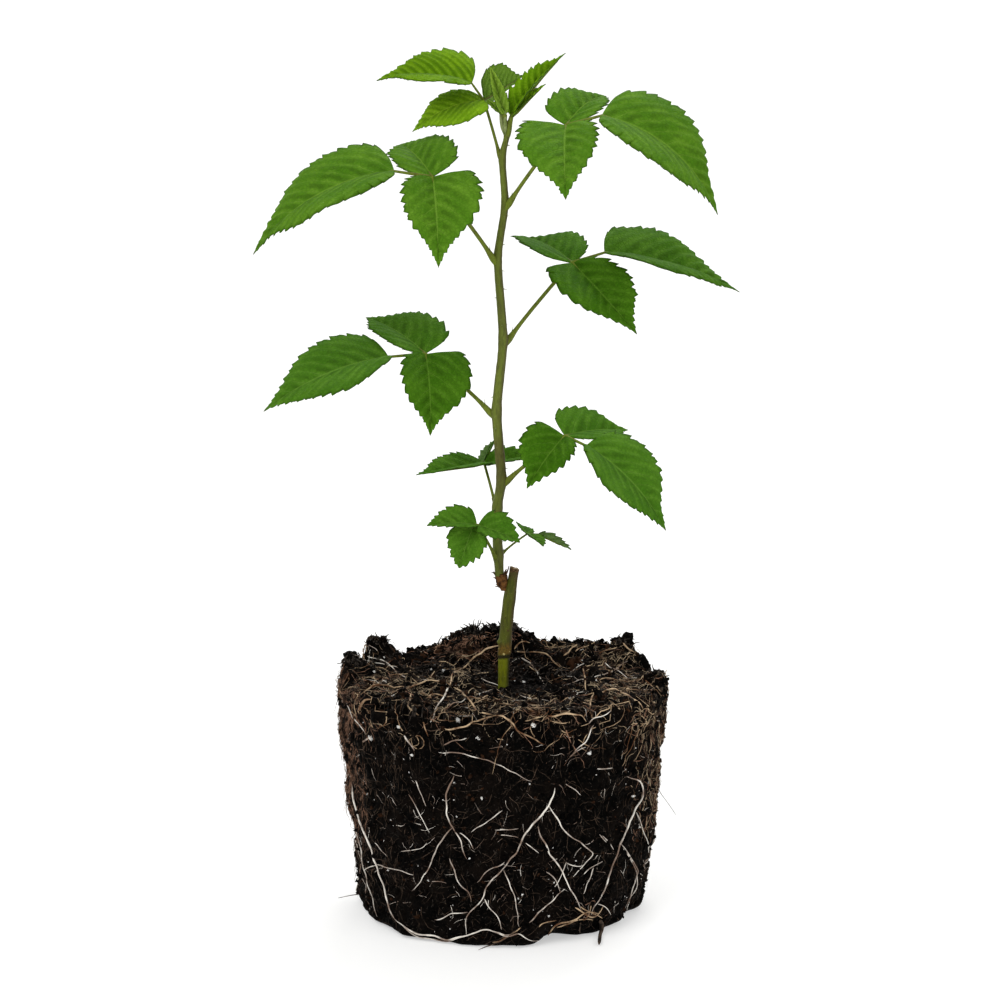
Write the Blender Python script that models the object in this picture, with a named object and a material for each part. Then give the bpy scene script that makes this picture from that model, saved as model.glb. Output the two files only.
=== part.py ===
# Young black raspberry plant standing on its bare root ball.
# Metres, +Z up. The origin is the middle of the root ball's flat underside, and -Y is the front.

import math
from collections import namedtuple

import bmesh
import bpy
from mathutils import Matrix, Vector, noise

GAP = 0.0003

# Root ball: a plug of potting mix that kept the taper of the pot it grew in
BALL_RIM_RADIUS = 0.0612
BALL_BASE_RADIUS = 0.0535
BALL_RIM_HEIGHT = 0.0860
BALL_SIDE_POWER = 0.80
BALL_ROUGHNESS = 0.0018
BALL_LUMP_SIZE = 0.016
BALL_SEGMENTS = 44
BALL_SIDE_RINGS = 10
BALL_TOP_RINGS = 8
BALL_EDGE_ROUND = 0.0022

# The mix is scooped out a little round the cane and heaped up towards the back and the sides
HOLLOW_RADIUS = 0.0048
HOLLOW_HEIGHT = 0.0835
Heap = namedtuple("Heap", "x y height spread")
HEAPS = (
    Heap(-0.014, 0.043, 0.0095, 0.0100),
    Heap(0.003, 0.044, 0.0120, 0.0085),
    Heap(-0.0495, 0.028, 0.0115, 0.0068),
    Heap(0.029, 0.037, 0.0070, 0.0095),
    Heap(0.0465, 0.030, 0.0095, 0.0078),
    Heap(0.016, 0.047, 0.0030, 0.0080),
    Heap(-0.0575, 0.006, 0.0080, 0.0078),
    Heap(0.057, 0.000, 0.0045, 0.0075),
    Heap(-0.028, 0.042, 0.0040, 0.0090),
    Heap(0.020, -0.052, 0.0020, 0.0120),
    Heap(-0.030, -0.046, 0.0015, 0.0120),
)

# The side bulges a little on the left, is flatter low on the right, and has lost its lower edge and a
# bite of mix at the front right. A swell is its heading, height, spreads in degrees and metres, and depth
Swell = namedtuple("Swell", "heading height spread rise out")
SWELLS = (
    Swell(-38.0, 0.000, 26.0, 0.0085, -0.0036),
    Swell(-66.0, 0.000, 9.0, 0.0060, -0.0085),
    Swell(0.0, 0.018, 50.0, 0.0300, -0.0012),
    Swell(180.0, 0.067, 42.0, 0.0180, 0.0009),
    Swell(178.0, 0.070, 9.0, 0.0060, 0.0014),
)

# Old cane: last year's stem, cut off slantwise above the shoot
OLD_FOOT_Z = HOLLOW_HEIGHT + GAP
OLD_TOP_Z = 0.1290
OLD_LEAN = 0.0040
OLD_LEAN_POWER = 2.3
OLD_FOOT_RADIUS = 0.0020
OLD_MIDDLE_RADIUS = 0.00235
OLD_TOP_RADIUS = 0.00175
OLD_CUT_RISE = 0.0007

# Collar: the short knuckle on the old cane's left side that carries the new cane
COLLAR_Z = 0.1262
COLLAR_X = -0.00125
COLLAR_RADIUS = 0.00190

# New cane: it bends a little towards each leaf in turn and swells there
NEW_FOOT_Z = COLLAR_Z + GAP
NEW_TOP_Z = 0.2935
NEW_FOOT_RADIUS = 0.00128
NEW_LOW_RADIUS = 0.00168
NEW_TOP_RADIUS = 0.00116
NEW_ZIGZAG = 0.0012
NEW_NODE_SWELL = 0.16
NEW_NODE_LENGTH = 0.0024
NEW_DRIFT_LOW = -0.0020
NEW_DRIFT_MIDDLE = -0.0014
NEW_DRIFT_TOP = 0.0006
NEW_DRIFT_FROM = 0.140
NEW_DRIFT_BETWEEN = 0.190
NEW_DRIFT_AGAIN = 0.246
NEW_DRIFT_TO = 0.288

# Leaf stalks
STALK_SIDES = 5
STALK_BASE_RADIUS = 0.00095
STALK_RADIUS = 0.00070
STALK_TIP_RADIUS = 0.00045
STALK_SPREAD = 0.0022
STALK_INTO_BLADE = 0.22
PETIOLULE_LENGTH = 0.0003

# Leaflet blades
BLADE_RISE_POWER = 0.55
BLADE_FALL_POWER = 1.15
BLADE_HEART = 0.085
BLADE_SKEW = 0.20
BLADE_FOLD = 18.0
BLADE_ARCH = 0.05
BLADE_TOOTH = 0.055
BLADE_LARGE = 0.0302
BLADE_THICK = 0.0105
BLADE_THINNEST = 0.0005

# A leaflet is its length, width to length, where its midrib heads (0 is +X, 90 is the back),
# how far that rises or hangs, how far it is rolled over, how far it bends down to its tip,
# and how far its halves are folded up
Leaflet = namedtuple("Leaflet", "length width heading pitch roll droop fold", defaults=(BLADE_FOLD,))

# A leaf is the height of its node on the cane, and the length, direction and rise of its petiole
# and of the stalk beyond the side leaflets; its first leaflet is the end one
Stalk = namedtuple("Stalk", "length heading rise")
Leaf = namedtuple("Leaf", "node petiole rachis leaflets")

LEAVES = {
    "leaf_upper_right": Leaf(0.2640, Stalk(0.0387, -35, 47), Stalk(0.0137, -17, 15), (
        Leaflet(0.055, 0.84, -11, -16, 22, 52, 10),
        Leaflet(0.0445, 0.65, -93, -19, 8, 28),
        Leaflet(0.035, 0.58, 58, 33, 18, 35))),
    "leaf_upper_left": Leaf(0.2440, Stalk(0.0419, -143, 46), Stalk(0.0142, -164, 9), (
        Leaflet(0.061, 0.80, 185, -6, -19, 52, 8),
        Leaflet(0.0437, 0.67, -84, -26, -2, 36),
        Leaflet(0.040, 0.61, 114, 28, -19, 28))),
    "leaf_mid_right": Leaf(0.2140, Stalk(0.0393, 26, 44), Stalk(0.0135, 18, 15), (
        Leaflet(0.0554, 0.70, 10, -6, 19, 23, 16),
        Leaflet(0.0402, 0.74, -45, -34, 20, 6),
        Leaflet(0.0407, 0.84, 120, 21, -1, 25))),
    "leaf_mid_left": Leaf(0.1874, Stalk(0.0343, 164, 37), Stalk(0.0137, -172, -4), (
        Leaflet(0.051, 0.77, 198, -6, -20, 35, 8),
        Leaflet(0.0344, 0.78, -80, -36, -10, 31),
        Leaflet(0.0412, 0.63, 129, 26, -14, 24))),
    "leaf_lower_right": Leaf(0.1620, Stalk(0.0303, -20, 36), Stalk(0.0097, -33, -18), (
        Leaflet(0.0427, 0.81, -22, -27, 17, 39, 10),
        Leaflet(0.0275, 0.78, -125, -27, -20, 24),
        Leaflet(0.0327, 0.68, 37, 7, 27, 17))),
    "leaf_small_back": Leaf(0.1516, Stalk(0.0205, 109, 44), Stalk(0.0021, 101, 0), (
        Leaflet(0.0135, 0.44, 66, 38, -30, 6, 36),
        Leaflet(0.0300, 0.60, 210, -2, -12, 2, 24),
        Leaflet(0.0210, 0.71, 3, 12, 19, 10, 22))),
    "leaf_small_front": Leaf(0.1336, Stalk(0.0194, -122, 45), Stalk(0.0019, -144, -8), (
        Leaflet(0.0165, 0.92, -141, -63, -41, 25),
        Leaflet(0.0201, 0.79, 201, 13, -22, 22),
        Leaflet(0.0179, 0.81, -30, -10, 24, 14))),
    "leaf_small_right": Leaf(0.1345, Stalk(0.0146, 33, 25), Stalk(0.0042, 14, -4), (
        Leaflet(0.0143, 0.46, 13, -23, -28, 8),
        Leaflet(0.0108, 0.86, -54, -9, -14, 17),
        Leaflet(0.0099, 0.77, 100, 14, 24, 12))),
    "leaf_top_left": Leaf(0.2805, Stalk(0.0215, 163, 71), Stalk(0.0079, -155, 52), (
        Leaflet(0.0358, 0.91, 174, 18, -21, 35, 14),
        Leaflet(0.0281, 0.78, 192, -15, -32, 24),
        Leaflet(0.0272, 0.64, 57, 19, -66, 3, 22))),
    "leaf_young": Leaf(0.2888, Stalk(0.0085, 9, 64), Stalk(0.0012, 20, 60), (
        Leaflet(0.0280, 0.45, 23, 53, 23, 13, 45),
        Leaflet(0.0160, 0.44, 2, 49, 45, 6, 50),
        Leaflet(0.0137, 0.47, 82, 54, 21, 8, 50))),
    "leaf_bud": Leaf(NEW_TOP_Z, Stalk(0.0022, -110, 60), Stalk(0.0006, 60, 60), (
        Leaflet(0.0165, 0.50, 178, 70, -80, 8, 52),
        Leaflet(0.0093, 0.44, 160, 40, -70, 29, 55))),
}

# Colours, and how rough each surface is
SOIL = ((0.020, 0.012, 0.008), 0.95)
OLD_BARK = ((0.130, 0.120, 0.030), 0.60)
NEW_BARK = ((0.150, 0.170, 0.035), 0.50)
LEAF_GREEN = ((0.060, 0.160, 0.020), 0.55)
YOUNG_FROM = 0.27
YOUNG_GREEN = ((0.110, 0.250, 0.025), 0.50)


def clear_scene():
    """Remove every object that the new file starts with."""
    for thing in list(bpy.data.objects):
        bpy.data.objects.remove(thing, do_unlink=True)


def make_material(name, colour, roughness):
    """A plain surface of one colour."""
    material = bpy.data.materials.new(name)
    material.use_nodes = True
    shader = material.node_tree.nodes["Principled BSDF"]
    shader.inputs["Base Color"].default_value = (*colour, 1.0)
    shader.inputs["Roughness"].default_value = roughness
    shader.inputs["Metallic"].default_value = 0.0
    return material


def mix(start, end, amount):
    """The value that lies the given share of the way from start to end."""
    return start + (end - start) * amount


def smooth_step(low, high, value):
    """0 below low, 1 above high and an even curve between."""
    share = min(1.0, max(0.0, (value - low) / (high - low)))
    return share * share * (3.0 - 2.0 * share)


def direction(heading, rise):
    """The unit vector with a compass heading from +X and a rise above the level, in degrees."""
    turn = math.radians(heading)
    lift = math.radians(rise)
    return Vector((math.cos(lift) * math.cos(turn), math.cos(lift) * math.sin(turn), math.sin(lift)))


def new_object(name, mesh, material, smooth_angle=40.0):
    """Put a mesh into the scene under its node's name."""
    thing = bpy.data.objects.new(name, mesh)
    bpy.context.scene.collection.objects.link(thing)
    mesh.materials.append(material)
    mesh.shade_smooth()
    mesh.set_sharp_from_angle(angle=math.radians(smooth_angle))
    return thing


def close_mesh(bm, name):
    """Turn the faces outward and give back the finished mesh."""
    bmesh.ops.recalc_face_normals(bm, faces=bm.faces)
    mesh = bpy.data.meshes.new(name)
    bm.to_mesh(mesh)
    bm.free()
    return mesh


def skin_rings(bm, rings):
    """Join each ring of points to the next with a band of faces."""
    for lower, upper in zip(rings, rings[1:]):
        count = len(lower)
        for i in range(count):
            j = (i + 1) % count
            bm.faces.new((lower[i], lower[j], upper[j], upper[i]))


def limb_mesh(name, path, radii, sides, foot_normal=None, top_normal=None):
    """A round tapering limb along a path, with a flat cut at each end."""
    bm = bmesh.new()
    rings = []
    across = None
    for i, point in enumerate(path):
        before = path[max(0, i - 1)]
        after = path[min(len(path) - 1, i + 1)]
        along = (after - before).normalized()
        if i == 0 and foot_normal is not None:
            along = foot_normal
        if i == len(path) - 1 and top_normal is not None:
            along = top_normal
        if across is None:
            across = along.orthogonal()
        across = (across - along * across.dot(along)).normalized()
        other = along.cross(across)
        ring = []
        for k in range(sides):
            angle = 2.0 * math.pi * k / sides
            spoke = across * math.cos(angle) + other * math.sin(angle)
            ring.append(bm.verts.new(point + spoke * radii[i]))
        rings.append(ring)
    skin_rings(bm, rings)
    bm.faces.new(rings[0])
    bm.faces.new(rings[-1])
    return close_mesh(bm, name)


# Root ball

def lumps(point, size):
    """Soft noise from -1 to 1 with lumps of about the given size."""
    return noise.fractal(point / size, 0.6, 2.0, 3)


def ball_radius(height):
    """The radius of the ball's side at a height."""
    share = max(0.0, height / BALL_RIM_HEIGHT) ** BALL_SIDE_POWER
    return mix(BALL_BASE_RADIUS, BALL_RIM_RADIUS, share)


def side_change(angle, height):
    """How far the swells and bites move the side out at an angle and a height."""
    change = 0.0
    for swell in SWELLS:
        turn = (math.degrees(angle) - swell.heading + 180.0) % 360.0 - 180.0
        across = turn / swell.spread
        up = (height - swell.height) / swell.rise
        change += swell.out * math.exp(-across ** 2 - up ** 2)
    return change


def ball_top(x, y):
    """The height of the mix at a place on the top."""
    away = math.hypot(x, y)
    height = BALL_RIM_HEIGHT
    for heap in HEAPS:
        gone = ((x - heap.x) ** 2 + (y - heap.y) ** 2) / heap.spread ** 2
        height += heap.height * math.exp(-gone)
    height += BALL_ROUGHNESS * 0.9 * lumps(Vector((x, y, 0.31)), BALL_LUMP_SIZE * 0.7)
    height -= 0.0015 * math.exp(-(away / 0.022) ** 2)
    return mix(HOLLOW_HEIGHT, height, smooth_step(HOLLOW_RADIUS, HOLLOW_RADIUS * 3.2, away))


def ball_mesh():
    """The whole ball: flat underside, rough side, and a top with its hollow and heaps."""
    bm = bmesh.new()
    rings = []
    angles = [2.0 * math.pi * i / BALL_SEGMENTS for i in range(BALL_SEGMENTS)]

    foot = []
    for angle in angles:
        out = Vector((math.cos(angle), math.sin(angle), 0.0))
        rough = BALL_ROUGHNESS * lumps(out * BALL_BASE_RADIUS, BALL_LUMP_SIZE) + side_change(angle, 0.0)
        foot.append(bm.verts.new(out * (BALL_BASE_RADIUS - BALL_EDGE_ROUND + rough)))
    rings.append(foot)

    for step in range(BALL_SIDE_RINGS):
        height = mix(BALL_EDGE_ROUND, BALL_RIM_HEIGHT - BALL_EDGE_ROUND, step / (BALL_SIDE_RINGS - 1))
        ring = []
        for angle in angles:
            out = Vector((math.cos(angle), math.sin(angle), 0.0))
            place = out * ball_radius(height) + Vector((0.0, 0.0, height))
            rough = BALL_ROUGHNESS * lumps(place, BALL_LUMP_SIZE) + side_change(angle, height)
            ring.append(bm.verts.new(place + out * rough))
        rings.append(ring)

    rim = BALL_RIM_RADIUS - BALL_EDGE_ROUND
    for step in range(BALL_TOP_RINGS + 1):
        share = (1.0 - step / BALL_TOP_RINGS) ** 0.85
        away = mix(HOLLOW_RADIUS, rim, share)
        ring = []
        for angle in angles:
            x = away * math.cos(angle)
            y = away * math.sin(angle)
            ring.append(bm.verts.new((x, y, ball_top(x, y))))
        rings.append(ring)

    skin_rings(bm, rings)
    bm.faces.new(rings[0])
    bm.faces.new(rings[-1])
    return close_mesh(bm, "root_ball")


# Canes

def old_cane_centre(height):
    """The middle of the old cane at a height."""
    share = (height - OLD_FOOT_Z) / (OLD_TOP_Z - OLD_FOOT_Z)
    return Vector((OLD_LEAN * max(0.0, share) ** OLD_LEAN_POWER, 0.0, height))


def old_cane_radius(height):
    """The old cane is slimmest at the soil and above the shoot."""
    low = mix(OLD_FOOT_RADIUS, OLD_MIDDLE_RADIUS, smooth_step(OLD_FOOT_Z, OLD_FOOT_Z + 0.022, height))
    return mix(low, OLD_TOP_RADIUS, smooth_step(0.1170, 0.1275, height))


def make_old_cane(material):
    """The old cane with the collar of the new one fused to its left side."""
    count = 14
    heights = [mix(OLD_FOOT_Z, OLD_TOP_Z, i / (count - 1)) for i in range(count)]
    path = [old_cane_centre(height) for height in heights]
    radii = [old_cane_radius(height) for height in heights]
    slant = Vector((OLD_CUT_RISE / OLD_TOP_RADIUS, -0.25, 1.0)).normalized()
    mesh = limb_mesh("old_cane", path, radii, 10, foot_normal=Vector((0, 0, 1)), top_normal=slant)
    cane = new_object("old_cane", mesh, material)

    root = old_cane_centre(COLLAR_Z - 0.0058)
    bend = Vector((COLLAR_X * 0.55, 0.0, COLLAR_Z - 0.0030))
    top = Vector((COLLAR_X, 0.0, COLLAR_Z))
    path = [root, bend, mix(bend, top, 0.6) + Vector((-0.0003, 0.0, 0.0)), top]
    radii = [COLLAR_RADIUS * 0.8, COLLAR_RADIUS * 1.05, COLLAR_RADIUS * 1.12, COLLAR_RADIUS]
    mesh = limb_mesh("collar", path, radii, 10, top_normal=Vector((0, 0, 1)))
    fuse(cane, [new_object("collar", mesh, material)])
    return cane


def new_cane_drift(height):
    """How far right of the ball's middle the cane stands at a height, before it bends to its leaves."""
    drift = mix(NEW_DRIFT_LOW, NEW_DRIFT_MIDDLE, smooth_step(NEW_DRIFT_FROM, NEW_DRIFT_BETWEEN, height))
    return mix(drift, NEW_DRIFT_TOP, smooth_step(NEW_DRIFT_AGAIN, NEW_DRIFT_TO, height))


def new_cane_knots():
    """The points that the new cane runs through: its foot, one for each leaf, and its top."""
    knots = [Vector((new_cane_drift(NEW_FOOT_Z), 0.0, NEW_FOOT_Z))]
    for leaf in sorted(LEAVES.values(), key=lambda leaf: leaf.node):
        if leaf.node - knots[-1].z < 0.004:
            continue
        towards = direction(leaf.petiole.heading, 0.0)
        bend = NEW_ZIGZAG * (0.4 if leaf.petiole.length < 0.02 else 1.0)
        knots.append(Vector((new_cane_drift(leaf.node), 0.0, leaf.node)) + towards * bend)
    knots.append(Vector((new_cane_drift(NEW_TOP_Z) + NEW_ZIGZAG * 0.5, 0.0, NEW_TOP_Z)))
    return knots


def new_cane_centre(height):
    """The middle of the new cane at a height, on a soft curve through its knots."""
    knots = new_cane_knots()
    for i in range(len(knots) - 1):
        if height <= knots[i + 1].z or i == len(knots) - 2:
            share = (height - knots[i].z) / (knots[i + 1].z - knots[i].z)
            eased = mix(share, share * share * (3.0 - 2.0 * share), 0.45)
            flat = knots[i].lerp(knots[i + 1], eased)
            return Vector((flat.x, flat.y, height))


def new_cane_radius(height):
    """The new cane is drawn in at its foot, tapers upwards and swells at each leaf."""
    share = (height - NEW_FOOT_Z) / (NEW_TOP_Z - NEW_FOOT_Z)
    radius = mix(NEW_LOW_RADIUS, NEW_TOP_RADIUS, smooth_step(0.15, 1.0, share))
    radius = mix(NEW_FOOT_RADIUS, radius, smooth_step(NEW_FOOT_Z, NEW_FOOT_Z + 0.007, height))
    swell = 0.0
    for leaf in LEAVES.values():
        swell = max(swell, math.exp(-((height - leaf.node) / NEW_NODE_LENGTH) ** 2))
    return radius * (1.0 + NEW_NODE_SWELL * swell)


def make_new_cane(material):
    """This year's shoot, which carries every leaf."""
    count = 46
    heights = [mix(NEW_FOOT_Z, NEW_TOP_Z, i / (count - 1)) for i in range(count)]
    path = [new_cane_centre(height) for height in heights]
    radii = [new_cane_radius(height) for height in heights]
    up = Vector((0, 0, 1))
    mesh = limb_mesh("new_cane", path, radii, 8, foot_normal=up, top_normal=up)
    return new_object("new_cane", mesh, material)


# Leaves

def blade_frame(base, leaflet):
    """The matrix that puts a blade drawn along X, with its upper side to Z, at its place."""
    along = direction(leaflet.heading, leaflet.pitch)
    level = direction(leaflet.heading + 90.0, 0.0)
    up = along.cross(level)
    roll = math.radians(leaflet.roll)
    side = level * math.cos(roll) + up * math.sin(roll)
    face = up * math.cos(roll) - level * math.sin(roll)
    frame = Matrix((along, side, face)).transposed().to_4x4()
    frame.translation = base
    return frame


def midrib(leaflet, share):
    """A point on the midrib, which curves down evenly, and the slope there."""
    slope = math.radians(leaflet.droop) * share
    if slope < 1e-4:
        return Vector((leaflet.length * share, 0.0, 0.0)), slope
    reach = leaflet.length / math.radians(leaflet.droop)
    return Vector((reach * math.sin(slope), 0.0, reach * (math.cos(slope) - 1.0))), slope


def half_width(leaflet, share, fuller):
    """Half of the blade's width: egg-shaped, widest a third of the way along, with a long tip.

    fuller is 1 on the fuller side of a side leaflet, -1 on its other side and 0 on an end leaflet.
    """
    widest = BLADE_RISE_POWER / (BLADE_RISE_POWER + BLADE_FALL_POWER)
    most = widest ** BLADE_RISE_POWER * (1.0 - widest) ** BLADE_FALL_POWER
    shape = share ** BLADE_RISE_POWER * (1.0 - share) ** BLADE_FALL_POWER / most
    skew = 1.0 + fuller * BLADE_SKEW * (1.0 - share) ** 0.7
    return 0.5 * leaflet.length * leaflet.width * shape * skew


def blade_point(leaflet, share, side, tooth, full_side):
    """A point on the blade: share of the way to the tip, side from -1 to 1 across it."""
    spine, slope = midrib(leaflet, share)
    fuller = full_side * math.copysign(1.0, side)
    half = half_width(leaflet, share, fuller)
    out = half * abs(side) * (1.0 + tooth)
    fold = math.radians(leaflet.fold)
    lift = out * math.sin(fold) + BLADE_ARCH * half * math.sin(math.pi * abs(side))
    heart = BLADE_HEART * leaflet.length * (1.0 + 0.8 * fuller) * (1.0 - share) ** 3
    heart *= abs(side) * min(1.0, 8.0 * share)
    forward = tooth * half * 0.8 - heart
    x = spine.x + forward * math.cos(slope) + lift * math.sin(slope)
    z = spine.z - forward * math.sin(slope) + lift * math.cos(slope)
    return Vector((x, math.copysign(out * math.cos(fold), side), z))


def fuller_side(leaflet, end_leaflet):
    """The side of a side leaflet that looks away from the end leaflet: -1, or 1 for its left."""
    if leaflet is end_leaflet:
        return 0.0
    return -math.copysign(1.0, math.sin(math.radians(end_leaflet.heading - leaflet.heading)))


def make_blade(base, leaflet, full_side, material):
    """One toothed blade, thin but solid."""
    large = leaflet.length > BLADE_LARGE
    teeth = 6 if large else 5
    sides = (-1.0, -0.5, 0.0, 0.5, 1.0) if large else (-1.0, 0.0, 1.0)
    rows = 2 * teeth + 1
    bm = bmesh.new()
    heel = bm.verts.new((0.0, 0.0, 0.0))
    tip = bm.verts.new(midrib(leaflet, 1.0)[0])
    grid = []
    for i in range(1, rows):
        share = i / rows
        tooth = BLADE_TOOTH if i % 2 else -BLADE_TOOTH
        row = []
        for side in sides:
            row.append(bm.verts.new(blade_point(leaflet, share, side, tooth * side ** 2, full_side)))
        grid.append(row)
    for lower, upper in zip(grid, grid[1:]):
        for k in range(len(sides) - 1):
            bm.faces.new((lower[k], lower[k + 1], upper[k + 1], upper[k]))
    for k in range(len(sides) - 1):
        bm.faces.new((heel, grid[0][k + 1], grid[0][k]))
        bm.faces.new((tip, grid[-1][k], grid[-1][k + 1]))
    bmesh.ops.recalc_face_normals(bm, faces=bm.faces)
    bm.transform(blade_frame(base, leaflet))
    mesh = bpy.data.meshes.new("blade")
    bm.to_mesh(mesh)
    bm.free()
    blade = new_object("blade", mesh, material)
    solid = blade.modifiers.new("Thickness", "SOLIDIFY")
    solid.thickness = max(BLADE_THINNEST, BLADE_THICK * leaflet.length)
    solid.offset = 0.0
    return blade


def bezier(start, start_handle, end_handle, end, share):
    """A point on a curve with a handle at each end."""
    rest = 1.0 - share
    return (start * rest ** 3 + start_handle * 3.0 * rest ** 2 * share
            + end_handle * 3.0 * rest * share ** 2 + end * share ** 3)


def into_blade(base, leaflet, steps):
    """Points along the first stretch of a blade's midrib, where its stalk is sunk in."""
    frame = blade_frame(base, leaflet)
    shares = [STALK_INTO_BLADE * (i + 1) / steps for i in range(steps)]
    return [frame @ midrib(leaflet, share)[0] for share in shares]


def leaf_foot(leaf):
    """The way a leaf leaves the cane: straight out of its side, or up from its top."""
    if leaf.node < NEW_TOP_Z:
        return direction(leaf.petiole.heading, 0.0)
    return Vector((0.0, 0.0, 1.0))


def leaf_points(leaf):
    """Where a leaf's petiole starts, where its side leaflets join, and where its end leaflet starts."""
    centre = new_cane_centre(leaf.node)
    if leaf.node < NEW_TOP_Z:
        start = centre + leaf_foot(leaf) * (new_cane_radius(leaf.node) + GAP)
    else:
        start = centre + leaf_foot(leaf) * GAP
    joint = centre + direction(leaf.petiole.heading, leaf.petiole.rise) * leaf.petiole.length
    end = joint + direction(leaf.rachis.heading, leaf.rachis.rise) * leaf.rachis.length
    return start, joint, end


def make_leaf(name, leaf, material):
    """One leaf: a stalk that leaves the cane and carries three blades, fused into one solid."""
    start, joint, end = leaf_points(leaf)
    small = leaf.petiole.length < 0.025
    slim = 0.75 if small else 1.0
    chord = direction(leaf.petiole.heading, leaf.petiole.rise)
    spread = STALK_SPREAD * math.cos(math.radians(leaf.petiole.rise))
    first_handle = start + leaf_foot(leaf) * spread
    second_handle = joint - chord * leaf.petiole.length * 0.4
    steps = 4 if leaf.petiole.length < 0.01 else 6
    path = [bezier(start, first_handle, second_handle, joint, (i / steps) ** 1.5) for i in range(steps + 1)]
    if leaf.rachis.length > 0.006:
        path.append(joint.lerp(end, 0.5))
    path.append(end)
    path += into_blade(end, leaf.leaflets[0], 3)
    radii = []
    for i in range(len(path)):
        share = i / (len(path) - 1)
        radius = mix(STALK_RADIUS, STALK_TIP_RADIUS, share)
        radii.append(slim * (radius + (STALK_BASE_RADIUS - STALK_RADIUS) * math.exp(-(share * 9.0) ** 2)))
    mesh = limb_mesh(name, path, radii, STALK_SIDES, foot_normal=leaf_foot(leaf))
    stalk = new_object(name, mesh, material)

    end_leaflet = leaf.leaflets[0]
    parts = [make_blade(end, end_leaflet, 0.0, material)]
    for leaflet in leaf.leaflets[1:]:
        base = joint + direction(leaflet.heading, leaflet.pitch) * PETIOLULE_LENGTH
        path = [joint] + [base] + into_blade(base, leaflet, 2)
        radii = [slim * STALK_TIP_RADIUS * size for size in (1.15, 1.10, 1.0, 0.9)]
        mesh = limb_mesh("petiolule", path, radii, STALK_SIDES)
        parts.append(new_object("petiolule", mesh, material))
        parts.append(make_blade(base, leaflet, fuller_side(leaflet, end_leaflet), material))
    fuse(stalk, parts)
    return stalk


def fuse(body, parts):
    """Join the parts onto the body with one union, and remove them."""
    group = bpy.data.collections.new("parts")
    bpy.context.scene.collection.children.link(group)
    for part in parts:
        bpy.context.scene.collection.objects.unlink(part)
        group.objects.link(part)
    union = body.modifiers.new("Union", "BOOLEAN")
    union.operation = "UNION"
    union.operand_type = "COLLECTION"
    union.solver = "MANIFOLD"
    union.collection = group
    bpy.context.view_layer.update()
    depsgraph = bpy.context.evaluated_depsgraph_get()
    fused = bpy.data.meshes.new_from_object(body.evaluated_get(depsgraph))
    body.modifiers.clear()
    body.data = fused
    for part in parts:
        bpy.data.objects.remove(part, do_unlink=True)
    bpy.data.collections.remove(group)


def main():
    clear_scene()
    soil = make_material("soil", *SOIL)
    old_bark = make_material("old_bark", *OLD_BARK)
    new_bark = make_material("new_bark", *NEW_BARK)
    leaf_green = make_material("leaf_green", *LEAF_GREEN)
    young_green = make_material("young_green", *YOUNG_GREEN)

    new_object("root_ball", ball_mesh(), soil)
    make_old_cane(old_bark)
    make_new_cane(new_bark)
    for name, leaf in LEAVES.items():
        make_leaf(name, leaf, young_green if leaf.node > YOUNG_FROM else leaf_green)


main()
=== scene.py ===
# Looks of the young black raspberry plant on its root ball.
# Metres, +Z up. The origin is the middle of the root ball's flat underside, and -Y is the front.

import math
import random
from collections import namedtuple

import bpy
from mathutils import Matrix, Vector, noise
from mathutils.bvhtree import BVHTree


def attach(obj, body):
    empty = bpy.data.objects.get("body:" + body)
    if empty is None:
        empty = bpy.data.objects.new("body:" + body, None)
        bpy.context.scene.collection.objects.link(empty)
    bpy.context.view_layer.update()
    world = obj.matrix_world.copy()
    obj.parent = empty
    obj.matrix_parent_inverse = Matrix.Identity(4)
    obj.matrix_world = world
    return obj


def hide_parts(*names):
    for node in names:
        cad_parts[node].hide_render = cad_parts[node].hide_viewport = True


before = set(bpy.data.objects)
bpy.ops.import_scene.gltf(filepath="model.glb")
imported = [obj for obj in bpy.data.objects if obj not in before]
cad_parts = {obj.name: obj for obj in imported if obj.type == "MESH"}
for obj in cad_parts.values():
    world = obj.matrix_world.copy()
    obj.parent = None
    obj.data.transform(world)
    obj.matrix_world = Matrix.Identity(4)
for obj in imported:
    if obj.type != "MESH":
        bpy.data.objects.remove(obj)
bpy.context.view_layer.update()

# Sizes of the plant's form, which are those of its solids

HOLLOW_RADIUS = 0.0048
HOLLOW_HEIGHT = 0.0835
BALL_RIM_RADIUS = 0.0612
BALL_BASE_RADIUS = 0.0535
BALL_RIM_HEIGHT = 0.0860
BALL_SIDE_POWER = 0.80
BALL_ROUGHNESS = 0.0018
BALL_LUMP_SIZE = 0.016
BALL_EDGE_ROUND = 0.0022
Heap = namedtuple("Heap", "x y height spread")
HEAPS = (
    Heap(-0.013, 0.043, 0.0112, 0.0092),
    Heap(-0.0205, 0.043, 0.0028, 0.0045),
    Heap(-0.0075, 0.043, 0.0024, 0.0042),
    Heap(-0.0430, 0.032, 0.0026, 0.0055),
    Heap(0.003, 0.044, 0.0120, 0.0085),
    Heap(-0.0495, 0.028, 0.0115, 0.0068),
    Heap(0.029, 0.037, 0.0066, 0.0105),
    Heap(0.0475, 0.030, 0.0095, 0.0074),
    Heap(0.016, 0.047, 0.0030, 0.0080),
    Heap(-0.0575, 0.006, 0.0076, 0.0070),
    Heap(0.057, 0.000, 0.0040, 0.0065),
    Heap(-0.028, 0.042, 0.0015, 0.0090),
    Heap(0.020, -0.052, 0.0020, 0.0120),
    Heap(-0.030, -0.046, 0.0015, 0.0120),
)
Swell = namedtuple("Swell", "heading height spread rise out")
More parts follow.
